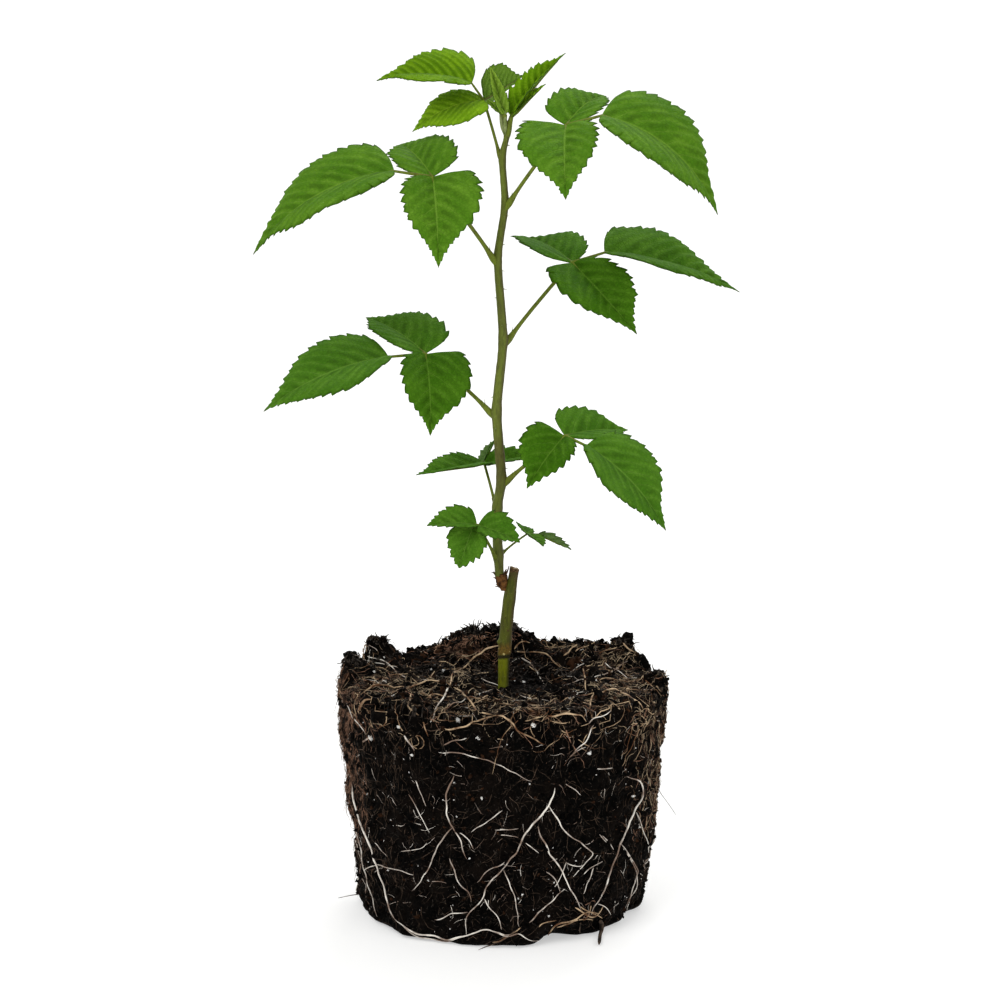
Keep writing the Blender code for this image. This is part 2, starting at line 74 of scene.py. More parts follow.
SWELLS = (
    Swell(-38.0, 0.000, 26.0, 0.0085, -0.0036),
    Swell(-66.0, 0.000, 8.5, 0.0060, -0.0100),
    Swell(-17.0, 0.002, 10.0, 0.0120, -0.0026),
    Swell(0.0, 0.018, 50.0, 0.0300, -0.0012),
    Swell(180.0, 0.067, 42.0, 0.0180, 0.0009),
    Swell(178.0, 0.070, 9.0, 0.0060, 0.0014),
)

OLD_FOOT_Z = 0.0815
OLD_TOP_Z = 0.1290
OLD_LEAN = 0.0040
OLD_LEAN_POWER = 2.3
OLD_FOOT_RADIUS = 0.0020
OLD_MIDDLE_RADIUS = 0.00235
OLD_TOP_RADIUS = 0.00175
OLD_RING_Z = 0.0970
KNUCKLE_LOW = 0.1206
KNUCKLE_HIGH = 0.1270
KNUCKLE_FOOT_X = 0.0001
KNUCKLE_TOP_X = -0.0009
KNUCKLE_RADIUS = 0.00215

NEW_FOOT_Z = 0.1265
NEW_TOP_Z = 0.2935
NEW_FOOT_RADIUS = 0.00128
NEW_LOW_RADIUS = 0.00181
NEW_TOP_RADIUS = 0.00124
NEW_ZIGZAG = 0.0012
NEW_NODE_SWELL = 0.16
NEW_NODE_LENGTH = 0.0024
NEW_DRIFT_LOW = -0.0022
NEW_DRIFT_MIDDLE = -0.0014
NEW_DRIFT_TOP = 0.0006
NEW_DRIFT_FROM = 0.140
NEW_DRIFT_BETWEEN = 0.215
NEW_DRIFT_AGAIN = 0.246
NEW_DRIFT_TO = 0.288

STALK_BASE_RADIUS = 0.00128
STALK_RADIUS = 0.00080
STALK_FLARE_FROM = 0.0044
STALK_FLARE_LENGTH = 0.0038
PETIOLULE_LENGTH = 0.0003
YOUNG_STALK_Z = 0.285

BLADE_RISE_POWER = 0.55
BLADE_FALL_POWER = 1.15
BLADE_HEART = 0.085
BLADE_SKEW = 0.20
BLADE_FOLD = 18.0
BLADE_ARCH = 0.05

Leaflet = namedtuple("Leaflet", "length width heading pitch roll droop fold lift", defaults=(BLADE_FOLD, 0.0))
Stalk = namedtuple("Stalk", "length heading rise")
Leaf = namedtuple("Leaf", "node petiole rachis leaflets")

LEAVES = {
    "leaf_upper_right": Leaf(0.2640, Stalk(0.0387, -35, 47), Stalk(0.0137, -17, 15), (
        Leaflet(0.0572, 0.83, -11, -12.5, 22, 61, 10, 7),
        Leaflet(0.0455, 0.65, -93.6, -19, 8, 28),
        Leaflet(0.035, 0.55, 58, 33, 18, 35))),
    "leaf_upper_left": Leaf(0.2440, Stalk(0.0419, -143, 46), Stalk(0.0142, -164, 9), (
        Leaflet(0.061, 0.80, 185, -6, -19, 52, 8, 8),
        Leaflet(0.0437, 0.67, -84, -26, -2, 36),
        Leaflet(0.040, 0.58, 114, 28, -19, 28))),
    "leaf_mid_right": Leaf(0.2140, Stalk(0.0393, 26, 44), Stalk(0.0135, 18, 15), (
        Leaflet(0.0554, 0.69, 10, -6, 20, 23, 16, 5),
        Leaflet(0.0402, 0.745, -46, -34, 20, 6),
        Leaflet(0.0388, 0.72, 119, 22, -5, 25))),
    "leaf_mid_left": Leaf(0.1874, Stalk(0.0343, 164, 37), Stalk(0.0137, -172, -4), (
        Leaflet(0.051, 0.77, 198, -6, -20, 35, 8, 23),
        Leaflet(0.0356, 0.77, -80, -36, -10, 31),
        Leaflet(0.0412, 0.60, 129, 26, -14, 24))),
    "leaf_lower_right": Leaf(0.1620, Stalk(0.0303, -20, 36), Stalk(0.0097, -33, -18), (
        Leaflet(0.0430, 0.83, -22, -27, 17, 39, 10, 27),
        Leaflet(0.0275, 0.78, -125, -27, -20, 24),
        Leaflet(0.0318, 0.63, 37, 6, 27, 17))),
    "leaf_small_back": Leaf(0.1516, Stalk(0.0205, 109, 44), Stalk(0.0021, 101, 0), (
        Leaflet(0.0135, 0.44, 66, 38, -30, 6, 36),
        Leaflet(0.0288, 0.62, 210, -3, -12, 2, 24),
        Leaflet(0.0210, 0.71, 3, 12, 19, 10, 22))),
    "leaf_small_front": Leaf(0.1336, Stalk(0.0194, -122, 45), Stalk(0.0019, -144, -8), (
        Leaflet(0.0165, 0.92, -141, -63, -41, 25),
        Leaflet(0.0191, 0.80, 201, 12, -22, 22),
        Leaflet(0.0179, 0.81, -30, -10, 24, 14))),
    "leaf_small_right": Leaf(0.1345, Stalk(0.0146, 33, 25), Stalk(0.0042, 14, -4), (
        Leaflet(0.0143, 0.46, 13, -23, -28, 8),
        Leaflet(0.0108, 0.86, -54, -9, -14, 17),
        Leaflet(0.0099, 0.77, 100, 14, 24, 12))),
    "leaf_top_left": Leaf(0.2805, Stalk(0.0215, 163, 71), Stalk(0.0079, -155, 52), (
        Leaflet(0.0358, 0.92, 174, 16.5, -21, 33, 16),
        Leaflet(0.0288, 0.72, 198, -3, -32, 50, 3, 16),
        Leaflet(0.0272, 0.64, 57, 19, -66, 3, 22))),
    "leaf_young": Leaf(0.2888, Stalk(0.0062, 6, 76), Stalk(0.0012, 20, 60), (
        Leaflet(0.0307, 0.40, 23, 51.5, 23, 13, 45),
        Leaflet(0.0169, 0.30, -1, 46, 36, 6, 38),
        Leaflet(0.0137, 0.47, 82, 54, 21, 8, 50))),
    "leaf_bud": Leaf(NEW_TOP_Z, Stalk(0.0022, -110, 60), Stalk(0.0006, 60, 60), (
        Leaflet(0.0183, 0.42, 176, 73, -80, 8, 52),
        Leaflet(0.0093, 0.44, 160, 40, -70, 29, 55))),
}

# Fine form of the blades
TOOTH_SPACING = 0.0030
SMALL_TOOTH_SPACING = 0.0024
TOOTH_ROWS = 6
TOOTH_DEPTH = 0.50
YOUNG_TOOTH_DEPTH = 0.22
TOOTH_LEAN = 1.08
TOOTH_FORWARD = 0.12
TOOTH_OUT = (0.0, 0.25, 0.46, 0.65, 0.83, 1.0)
DOUBLE_TOOTH_OUT = (0.0, 0.34, 0.60, 0.52, 0.76, 1.0)
SMALL_BLADE = 0.022
TIP_DRAWN = 0.44
EDGE_WAVE = 0.026
VEIN_SPACING = 0.0088
YOUNG_VEIN_SPACING = 0.0046
VEIN_SLANT = 0.90
VEIN_SLANT_OUT = 1.22
VEIN_OFFSET = 0.35
PLEAT = 0.0080
YOUNG_PLEAT = 0.0140
BLADE_THICKNESS = 0.00030

# Where round a cane, as a share of the turn from +X, its bark has painted shade in brown: its right side
SHADY_TURN = 0.93

# The photo is square, and places on the ball's front are given by its pixels
PHOTO_SIZE = 1000.0
CAMERA_SENSOR = 36.0

# Camera: about a metre in front, a little above the top of the plant
CAMERA_PLACE = (-0.0015, -1.0, 0.318)
CAMERA_TILT = 80.72
CAMERA_LENS = 98.68


# Small tools

def mix(start, end, amount):
    """The value that lies the given share of the way from start to end."""
    return start + (end - start) * amount


def smooth_step(low, high, value):
    """0 below low, 1 above high and an even curve between."""
    share = min(1.0, max(0.0, (value - low) / (high - low)))
    return share * share * (3.0 - 2.0 * share)


def direction(heading, rise):
    """The unit vector with a compass heading from +X and a rise above the level, in degrees."""
    turn = math.radians(heading)
    lift = math.radians(rise)
    return Vector((math.cos(lift) * math.cos(turn), math.cos(lift) * math.sin(turn), math.sin(lift)))


def chance(*key):
    """A fixed number from 0 to 1 for a key, always the same."""
    return random.Random(str(key)).random()


def choose(thing):
    """Make one object the only selected one."""
    bpy.ops.object.select_all(action="DESELECT")
    thing.select_set(True)
    bpy.context.view_layer.objects.active = thing


def formed_grid(name, columns, rows, place, closed_round=False):
    """A grid primitive whose points are moved by a rule: place(across, along), each from 0 to 1."""
    bpy.ops.object.select_all(action="DESELECT")
    bpy.ops.mesh.primitive_grid_add(x_subdivisions=columns, y_subdivisions=rows, size=1.0)
    thing = bpy.context.object
    thing.name = name
    thing.data.name = name
    for vertex in thing.data.vertices:
        vertex.co = place(vertex.co.x + 0.5, vertex.co.y + 0.5)
    bpy.ops.object.mode_set(mode="EDIT")
    bpy.ops.mesh.select_all(action="SELECT")
    bpy.ops.mesh.remove_doubles(threshold=0.000002)
    if closed_round:
        bpy.ops.mesh.fill_holes(sides=0)
        bpy.ops.mesh.select_all(action="SELECT")
        bpy.ops.mesh.normals_make_consistent(inside=False)
    bpy.ops.object.mode_set(mode="OBJECT")
    bpy.ops.object.shade_smooth()
    return thing


def join(name, things):
    """Join several objects into the first and name it."""
    bpy.ops.object.select_all(action="DESELECT")
    for thing in things:
        thing.select_set(True)
    bpy.context.view_layer.objects.active = things[0]
    if len(things) > 1:
        bpy.ops.object.join()
    joined = bpy.context.object
    joined.name = name
    joined.data.name = name
    return joined


def mesh_object(name, points, faces):
    """A new smooth object from points and faces."""
    mesh = bpy.data.meshes.new(name)
    mesh.from_pydata(points, [], faces)
    mesh.validate()
    mesh.shade_smooth()
    thing = bpy.data.objects.new(name, mesh)
    bpy.context.scene.collection.objects.link(thing)
    return thing


def stand_for(piece, node, material_slot, *materials):
    """Finish a piece: it rides with the plant, stands for a node and gets its materials."""
    for material in materials:
        piece.data.materials.append(material)
    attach(piece, "root")
    if node:
        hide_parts(node)
    return piece


# Shader expressions

class Value:
    """A socket of a node tree that Python's operators work on."""

    def __init__(self, tree, socket):
        self.tree = tree
        self.socket = socket

    def node(self, kind, settings=None, inputs=None, output=0):
        """Add a node of any type: its settings first, then the values or links of its sockets."""
        made = self.tree.nodes.new(kind)
        for name, value in (settings or {}).items():
            if name == "stops":
                ramp = made.color_ramp
                while len(ramp.elements) < len(value):
                    ramp.elements.new(0.5)
                for element, (position, colour) in zip(ramp.elements, value):
                    element.position = position
                    element.color = (*colour, 1.0)
            else:
                setattr(made, name, value)
        for name, value in (inputs or {}).items():
            if isinstance(value, Value):
                self.tree.links.new(value.socket, made.inputs[name])
            elif isinstance(value, tuple) and len(value) == 3 and made.inputs[name].type == "RGBA":
                made.inputs[name].default_value = (*value, 1.0)
            else:
                made.inputs[name].default_value = value
        return Value(self.tree, made.outputs[output])

    def maths(self, operation, first, second=0.0, clamp=False):
        return self.node("ShaderNodeMath", {"operation": operation, "use_clamp": clamp}, {0: first, 1: second})

    def __add__(self, other):
        return self.maths("ADD", self, other)

    def __radd__(self, other):
        return self.maths("ADD", other, self)

    def __sub__(self, other):
        return self.maths("SUBTRACT", self, other)

    def __rsub__(self, other):
        return self.maths("SUBTRACT", other, self)

    def __mul__(self, other):
        return self.maths("MULTIPLY", self, other)

    def __rmul__(self, other):
        return self.maths("MULTIPLY", other, self)

    def __truediv__(self, other):
        return self.maths("DIVIDE", self, other)

    def __pow__(self, other):
        return self.maths("POWER", self, other)

    def __abs__(self):
        return self.maths("ABSOLUTE", self)

    def fraction(self):
        return self.maths("FRACT", self)

    def ramp(self, low, high):
        """0 at low and 1 at high, with an even curve between."""
        settings = {"interpolation_type": "SMOOTHSTEP"}
        return self.node("ShaderNodeMapRange", settings, {"Value": self, "From Min": low, "From Max": high})

    def blend(self, first, second):
        """The colour mixed from first to second by this value."""
        settings = {"data_type": "RGBA", "clamp_factor": True}
        made = self.tree.nodes.new("ShaderNodeMix")
        for name, value in settings.items():
            setattr(made, name, value)
        self.tree.links.new(self.socket, made.inputs[0])
        for index, value in ((6, first), (7, second)):
            if isinstance(value, Value):
                self.tree.links.new(value.socket, made.inputs[index])
            else:
                made.inputs[index].default_value = (*value, 1.0)
        return Value(self.tree, made.outputs[2])


def new_material(name):
    """An empty finish: its start value, to make nodes from, and its shader."""
    material = bpy.data.materials.new(name)
    material.use_nodes = True
    shader = material.node_tree.nodes["Principled BSDF"]
    return material, Value(material.node_tree, None), shader


def finish_material(start, shader, colour, roughness, height=None, distance=0.0003, strength=1.0):
    """Link a finish's colour, roughness and relief to its shader."""
    tree = start.tree
    tree.links.new(colour.socket, shader.inputs["Base Color"])
    if isinstance(roughness, Value):
        tree.links.new(roughness.socket, shader.inputs["Roughness"])
    else:
        shader.inputs["Roughness"].default_value = roughness
    if height is not None:
        bump = start.node("ShaderNodeBump", {}, {"Strength": strength, "Distance": distance, "Height": height})
        tree.links.new(bump.socket, shader.inputs["Normal"])


def noise_value(start, place, scale, detail=3.0, rough=0.5, stretch=None):
    """Noise from about 0.2 to 0.8 on a place."""
    if stretch is not None:
        place = start.node("ShaderNodeMapping", {}, {"Vector": place, "Scale": stretch})
    inputs = {"Vector": place, "Scale": scale, "Detail": detail, "Roughness": rough}
    return start.node("ShaderNodeTexNoise", {}, inputs, "Fac")


def leaf_finish(name, deep, bright, vein_colour, quilt_shading, underside=False, even=0.0):
    """Leaf skin: pale along its side veins, with painted shade in the quilted hollows between them and in its fine net
    of creases, and striped when even is 1, the stripes being painted light and shade of its pleats.
    """
    material, start, shader = new_material(name)
    uv = start.node("ShaderNodeTexCoord", output="UV")
    split = start.tree.nodes.new("ShaderNodeSeparateXYZ")
    start.tree.links.new(uv.socket, split.inputs[0])
    across = abs(Value(start.tree, split.outputs[0]) * 2.0 - 1.0)
    share = start.node("ShaderNodeAttribute", {"attribute_name": "share"}, output="Fac")
    place = start.node("ShaderNodeTexCoord", output="Object")
    shake = noise_value(start, place, 150.0, 3.0)
    phase = Value(start.tree, split.outputs[1]) + (shake - 0.5) * (0.62 - 0.36 * even)
    from_vein = 0.5 - abs(phase.fraction() - 0.5)
    patches = noise_value(start, place, 75.0, 3.0)
    blotches = noise_value(start, place, 230.0, 2.0)
    fine = noise_value(start, place, 1100.0, 2.0)
    near_rib = 1.0 - across.ramp(0.10, 0.95) * 0.85
    line = (1.0 - from_vein.ramp(0.0, 0.055)) * (1.0 - across.ramp(0.15, 0.80) * 0.85)
    # pale band along each side vein: the vein's own paler tone, and for striped leaves also painted light on the pleats
    vein_band_and_highlight = (1.0 - from_vein.ramp(0.02, 0.26)) * (blotches * mix(2.4, 0.6, even) - mix(0.7, -0.6, even))
    # painted shade in the hollows between the side veins, strongest near the midrib
    hollow_shade = from_vein.ramp(0.12, 0.44) * near_rib * blotches.ramp(0.34 - 0.3 * even, 0.60 - 0.3 * even)
    midrib = 1.0 - across.ramp(0.012, 0.045)
    net = start.node("ShaderNodeTexVoronoi", {"feature": "DISTANCE_TO_EDGE"}, {"Vector": place, "Scale": 640.0})
    net_vein = 1.0 - net.ramp(0.0, 0.22)
    # the darker green of the painted shade
    shade = tuple(mix(0.50, 0.64, even) * part for part in deep)
    colour = (patches * 0.45 + blotches * 0.35 + fine * 0.20).ramp(0.36, 0.64).blend(deep, bright)
    colour = (hollow_shade * quilt_shading).blend(colour, shade)
    colour = (vein_band_and_highlight * quilt_shading * (0.20 if underside else 0.34)).blend(colour, vein_colour)
    # the fine net of creases: painted shade on the upper side, pale veins on the underside
    colour = (net_vein * (0.35 - patches * 0.25)).blend(colour, vein_colour if underside else shade)
    colour = (line * (0.75 if underside else 0.42)).blend(colour, vein_colour)
    colour = (midrib * (0.80 if underside else 0.50)).blend(colour, vein_colour)
    colour = (across.ramp(0.90, 0.995) * 0.60).blend(colour, shade)
    colour = (share.ramp(0.955, 1.0) * 0.80).blend(colour, (0.040, 0.032, 0.012))
    way = 1.0 if underside else -1.0
    height = fine * 0.20 + (line * 0.6 + midrib * 0.8 + net_vein * 0.45) * way
    finish_material(start, shader, colour, 0.56 + fine * 0.16, height, 0.00030, 0.9)
    shader.inputs["Specular IOR Level"].default_value = 0.015
    return material


def bark_parts(name):
    """An empty bark finish with what it is made from: the mask of its right side that gets painted shade, streaks,
    patches, specks and height.
    """
    material, start, shader = new_material(name)
    place = start.node("ShaderNodeTexCoord", output="Object")
    uv = start.node("ShaderNodeTexCoord", output="UV")
    split = start.tree.nodes.new("ShaderNodeSeparateXYZ")
    start.tree.links.new(uv.socket, split.inputs[0])
    turn = Value(start.tree, split.outputs[0])
    streaks = noise_value(start, place, 300.0, 3.0, 0.6, (1.0, 1.0, 0.12))
    patches = noise_value(start, place, 70.0, 3.0)
    specks = noise_value(start, place, 1700.0, 2.0)
    # side is 1 down the cane's right side, which gets painted shade
    round_turn = (turn - SHADY_TURN + 1.5).fraction()
    side = (abs(round_turn - 0.5) + (streaks - 0.5) * 0.26).ramp(0.28, 0.12)
    axes = start.tree.nodes.new("ShaderNodeSeparateXYZ")
    start.tree.links.new(place.socket, axes.inputs[0])
    grain = noise_value(start, place, 1000.0, 2.0, 0.6, (1.0, 1.0, 0.20)).ramp(0.46, 0.66)
    return material, start, shader, side, streaks, patches, specks, grain, Value(start.tree, axes.outputs[2])


def bark_finish(name, green, brown, shady, pale, brown_low=0.0, brown_high=0.0):
    """Smooth bark: green, browner in streaks and between two heights, with painted shade in brown down its right side,
    and fine pale specks.
    """
    material, start, shader, side, streaks, patches, specks, grain, height = bark_parts(name)
    colour = (streaks.ramp(0.44, 0.70) * 0.45).blend(green, brown)
    # painted shade: the right side turned towards the brown
    colour = (side * shady).blend(colour, brown)
    colour = (patches.ramp(0.52, 0.74) * 0.40).blend(colour, brown)
    if brown_high:
        stretch = height.ramp(brown_low - 0.004, brown_low + 0.004) * height.ramp(brown_high + 0.004, brown_high - 0.004)
        colour = (stretch * 0.55).blend(colour, brown)
    colour = (grain * 0.40).blend(colour, tuple(0.45 * part for part in brown))
    colour = (specks.ramp(0.60, 0.74) * 0.30).blend(colour, pale)
    finish_material(start, shader, colour, 0.50 + streaks * 0.2, streaks + specks * 0.5 + grain * 0.3, 0.00022, 0.8)
    shader.inputs["Specular IOR Level"].default_value = 0.18
    return material


def old_bark_finish(name, green, brown, rust, foot, dark):
    """Last year's bark: green with painted shade in brown down its right side, rusty at its node, yellow-green below it
    with painted shadow down its right side, brown at its cut.
    """
    material, start, shader, side, streaks, patches, specks, grain, height = bark_parts(name)
    wavy = height + (patches - 0.5) * 0.004 + (specks - 0.5) * 0.0016
    colour = (streaks.ramp(0.42, 0.68) * 0.45).blend(green, brown)
    # painted shade: the right side turned towards the brown
    colour = (side * 0.85).blend(colour, brown)
    below = (patches.ramp(0.48, 0.66) * 0.65).blend(foot, green)
    # painted shadow: the right side of the foot below the ring turned towards the dark
    below = (side * 0.9).blend(below, dark)
    colour = wavy.ramp(OLD_RING_Z - 0.0016, OLD_RING_Z - 0.0026).blend(colour, below)
    node = wavy.ramp(OLD_RING_Z - 0.0014, OLD_RING_Z - 0.0002) * wavy.ramp(OLD_RING_Z + 0.0044, OLD_RING_Z + 0.0018)
    colour = (node * (0.15 + streaks * 0.9)).blend(colour, rust)
    colour = (node * specks.ramp(0.50, 0.60) * 0.6).blend(colour, dark)
    ring = wavy.ramp(OLD_RING_Z - 0.0030, OLD_RING_Z - 0.0018) * wavy.ramp(OLD_RING_Z - 0.0004, OLD_RING_Z - 0.0014)
    colour = (ring * 0.95).blend(colour, dark)
    colour = (grain * 0.40).blend(colour, (0.020, 0.020, 0.005))
    colour = (wavy.ramp(OLD_TOP_Z - 0.0052, OLD_TOP_Z - 0.0018) * 0.75).blend(colour, brown)
    colour = (specks.ramp(0.58, 0.72) * 0.30).blend(colour, (0.19, 0.18, 0.06))
    finish_material(start, shader, colour, 0.55 + streaks * 0.2, streaks + specks * 0.7 + grain * 0.4, 0.00028, 0.9)
    shader.inputs["Specular IOR Level"].default_value = 0.15
    return material


def soil_finish(name, dark, brown, crumb):
    """Peat mix: nearly black, with brown fibre and paler crumbs."""
    material, start, shader = new_material(name)
    place = start.node("ShaderNodeTexCoord", output="Object")
    patches = noise_value(start, place, 110.0, 4.0, 0.65)
    grit = noise_value(start, place, 1100.0, 4.0, 0.7)
    colour = patches.ramp(0.42, 0.72).blend(dark, brown)
    colour = (grit.ramp(0.54, 0.72) * 0.7).blend(colour, crumb)
    finish_material(start, shader, colour, 0.90, grit + patches * 0.5, 0.0010, 1.0)
    shader.inputs["Specular IOR Level"].default_value = 0.03
    return material


def plain_finish(name, low, high, roughness, scale=300.0):
    """A finish that wavers between two colours."""
    material, start, shader = new_material(name)
    place = start.node("ShaderNodeTexCoord", output="Object")
    waver = noise_value(start, place, scale, 3.0, 0.6)
    colour = waver.ramp(0.38, 0.62).blend(low, high)
    finish_material(start, shader, colour, roughness, waver, 0.0002, 0.5)
    shader.inputs["Specular IOR Level"].default_value = 0.12
    return material


# Canes

def old_cane_centre(height):
    share = (height - 0.0838) / (OLD_TOP_Z - 0.0838)
    return Vector((OLD_LEAN * max(0.0, share) ** OLD_LEAN_POWER, 0.0, height))


def old_cane_radius(height):
    low = mix(OLD_FOOT_RADIUS, OLD_MIDDLE_RADIUS, smooth_step(0.0838, 0.1058, height))
    return mix(low, OLD_TOP_RADIUS, smooth_step(0.1170, 0.1275, height))


def new_cane_drift(height):
    drift = mix(NEW_DRIFT_LOW, NEW_DRIFT_MIDDLE, smooth_step(NEW_DRIFT_FROM, NEW_DRIFT_BETWEEN, height))
    return mix(drift, NEW_DRIFT_TOP, smooth_step(NEW_DRIFT_AGAIN, NEW_DRIFT_TO, height))


def new_cane_knots():
    """The points that the new cane runs through: its foot, one for each leaf, and its top."""
    knots = [Vector((new_cane_drift(NEW_FOOT_Z), 0.0, NEW_FOOT_Z))]
    for leaf in sorted(LEAVES.values(), key=lambda leaf: leaf.node):
        if leaf.node - knots[-1].z < 0.004:
            continue
        towards = direction(leaf.petiole.heading, 0.0)
        bend = NEW_ZIGZAG * (0.4 if leaf.petiole.length < 0.02 else 1.0)
        knots.append(Vector((new_cane_drift(leaf.node), 0.0, leaf.node)) + towards * bend)
    knots.append(Vector((new_cane_drift(NEW_TOP_Z) + NEW_ZIGZAG * 0.5, 0.0, NEW_TOP_Z)))
    return knots


KNOTS = new_cane_knots()


def new_cane_centre(height):
    """The middle of the new cane at a height, on a soft curve through its knots."""
    for i in range(len(KNOTS) - 1):
        if height <= KNOTS[i + 1].z or i == len(KNOTS) - 2:
            share = (height - KNOTS[i].z) / (KNOTS[i + 1].z - KNOTS[i].z)
            eased = mix(share, share * share * (3.0 - 2.0 * share), 0.45)
            flat = KNOTS[i].lerp(KNOTS[i + 1], min(1.0, max(0.0, eased)))
            return Vector((flat.x, flat.y, height))


def new_cane_radius(height):
    share = (height - NEW_FOOT_Z) / (NEW_TOP_Z - NEW_FOOT_Z)
    radius = mix(NEW_LOW_RADIUS, NEW_TOP_RADIUS, smooth_step(0.28, 1.0, share))
    radius = mix(NEW_FOOT_RADIUS, radius, smooth_step(NEW_FOOT_Z, NEW_FOOT_Z + 0.007, height))
    swell = 0.0
    for leaf in LEAVES.values():
        swell = max(swell, math.exp(-((height - leaf.node) / NEW_NODE_LENGTH) ** 2))
    return radius * (1.0 + NEW_NODE_SWELL * swell)


def tube_along(name, path, radii, around, relief=0.0):
    """A round limb along a path of points, closed at both ends, with a little relief."""
    count = len(path)
    frames = []
    across = None
    for i in range(count):
        along = (path[min(count - 1, i + 1)] - path[max(0, i - 1)]).normalized()
        if across is None:
            across = along.orthogonal()
        across = (across - along * across.dot(along)).normalized()
        frames.append((across.copy(), along.cross(across)))

    def place(turn, share):
        i = min(count - 1, max(0, round(share * (count - 1))))
        angle = 2.0 * math.pi * turn
        spoke = frames[i][0] * math.cos(angle) + frames[i][1] * math.sin(angle)
        rough = noise.noise(Vector((math.cos(angle) * 3.0, math.sin(angle) * 3.0, path[i].z * 400.0)))
        return path[i] + spoke * radii[i] * (1.0 + relief * rough)

    return formed_grid(name, around, count - 1, place, closed_round=True)


def old_bark_radius(height):
    """The old cane's radius, with the ring a third of the way up and the narrower foot below it."""
    node = math.exp(-((height - OLD_RING_Z - 0.0010) / 0.0030) ** 2)
    crease = math.exp(-((height - OLD_RING_Z + 0.0021) / 0.0006) ** 2)
    uneven = noise.noise(Vector((0.0, 3.0, height * 260.0)))
    return old_cane_radius(height) * (1.0 + 0.11 * node - 0.07 * crease + 0.025 * uneven)


def make_old_cane(bark, cut_rim, cut, knuckle_finish, scale_finish, cream):
    """The old cane: its bark, its slanting cut, and the knuckle with scales that the new cane grows from."""
    count = 150
    heights = [mix(OLD_FOOT_Z, OLD_TOP_Z, i / (count - 1)) for i in range(count)]
    path = [old_cane_centre(height) for height in heights]
    for point in path:
        point.x -= 0.0002 * (1.0 - smooth_step(OLD_RING_Z - 0.0015, OLD_RING_Z + 0.0015, point.z))
    radii = [old_bark_radius(height) for height in heights]
    cane = tube_along("old_cane_bark", path, radii, 28, 0.06)
    top = path[-1]
    for vertex in cane.data.vertices:
        high = smooth_step(OLD_TOP_Z - 0.0030, OLD_TOP_Z, vertex.co.z)
        ragged = noise.noise(vertex.co * 900.0)
        vertex.co.z += high * ((vertex.co.x - top.x) * -0.10 + 0.0006 * ragged)
        bump = math.exp(-((vertex.co.z - OLD_RING_Z - 0.0040) / 0.0009) ** 2)
        if vertex.co.x < path[0].x:
            vertex.co.x -= 0.0007 * bump
    cane.data.materials.append(bark)
    cane.data.materials.append(cut_rim)
    cane.data.materials.append(cut)
    for face in cane.data.polygons:
        if face.center.z > OLD_TOP_Z - 0.0009 + 0.0010 * noise.noise(face.center * 700.0):
            face.material_index = 1
        if len(face.vertices) > 6 and face.center.z > OLD_TOP_Z - 0.002:
            face.material_index = 2
    stand_for(cane, "old_cane", "old_bark")

    count = 36
    knuckle_path = []
    knuckle_radii = []
    for i in range(count):
        height = mix(KNUCKLE_LOW, KNUCKLE_HIGH, i / (count - 1))
        x = mix(KNUCKLE_FOOT_X, KNUCKLE_TOP_X, smooth_step(KNUCKLE_LOW, KNUCKLE_HIGH - 0.002, height))
        knuckle_path.append(Vector((x, -0.0001, height)))
        radius = mix(0.00130, KNUCKLE_RADIUS, smooth_step(KNUCKLE_LOW, KNUCKLE_HIGH - 0.0024, height))
        radius = mix(radius, KNUCKLE_RADIUS * 0.76, smooth_step(KNUCKLE_HIGH - 0.0012, KNUCKLE_HIGH, height))
        knuckle_radii.append(radius)
    knuckle = tube_along("knuckle", knuckle_path, knuckle_radii, 28, 0.20)
    stand_for(knuckle, "old_cane", "old_bark", knuckle_finish)

    luck = random.Random(31)
    threads = []
    for turn, height, rise, length in (
            (200, 0.1252, 20, 0.0016), (172, 0.1268, 12, 0.0026), (188, 0.1260, 38, 0.0018), (150, 0.1262, 20, 0.0018),
            (15, 0.1264, 66, 0.0038), (-60, 0.1266, 40, 0.0012), (50, 0.1266, 50, 0.0024),
            (190, 0.1222, -5, 0.0018), (205, 0.1217, 20, 0.0015), (175, 0.1226, 10, 0.0014)):
        way = direction(turn, 0.0)
        share = (height - KNUCKLE_LOW) / (KNUCKLE_HIGH - KNUCKLE_LOW)
        spot = min(count - 1, max(0, round(share * (count - 1))))
        root = knuckle_path[spot] + way * knuckle_radii[spot] * 0.85
        out = direction(turn, rise)
        path = [root + out * length * k / 5 + Vector((0, 0, 1)) * 0.0004 * luck.gauss(0, 1) * (k / 5) ** 2 for k in range(6)]
        threads.append((path, [0.00048 * (1.0 - 0.8 * k / 5) for k in range(6)]))
    for number in range(9):
        height = mix(0.092, 0.123, luck.random())
        turn = luck.uniform(0.0, 360.0)
        root = old_cane_centre(height) + direction(turn, 0.0) * old_cane_radius(height) * 0.9
        threads.append(([root + direction(turn, -10.0) * 0.0012 * k / 3 for k in range(4)], [0.00022 * (1.0 - 0.28 * k) for k in range(4)]))
    scales = threads_mesh("old_cane_scales", threads, 6)
    stand_for(scales, "old_cane", "old_bark", scale_finish)

    nodules = []
    for turn, height, size in ((262, 0.0968, 0.00060), (205, 0.0985, 0.00045), (225, 0.1004, 0.00035), (318, 0.0976, 0.00035)):
        centre = old_cane_centre(height) + direction(turn, 0.0) * old_cane_radius(height) * 1.02
        up = Vector((0.0, 0.0, size * 0.9))
        nodules.append(([centre - up, centre - up * 0.4, centre + up * 0.4, centre + up], [size * 0.3, size, size * 0.9, size * 0.2]))
    stand_for(threads_mesh("nodules", nodules, 8), "old_cane", "old_bark", cream)


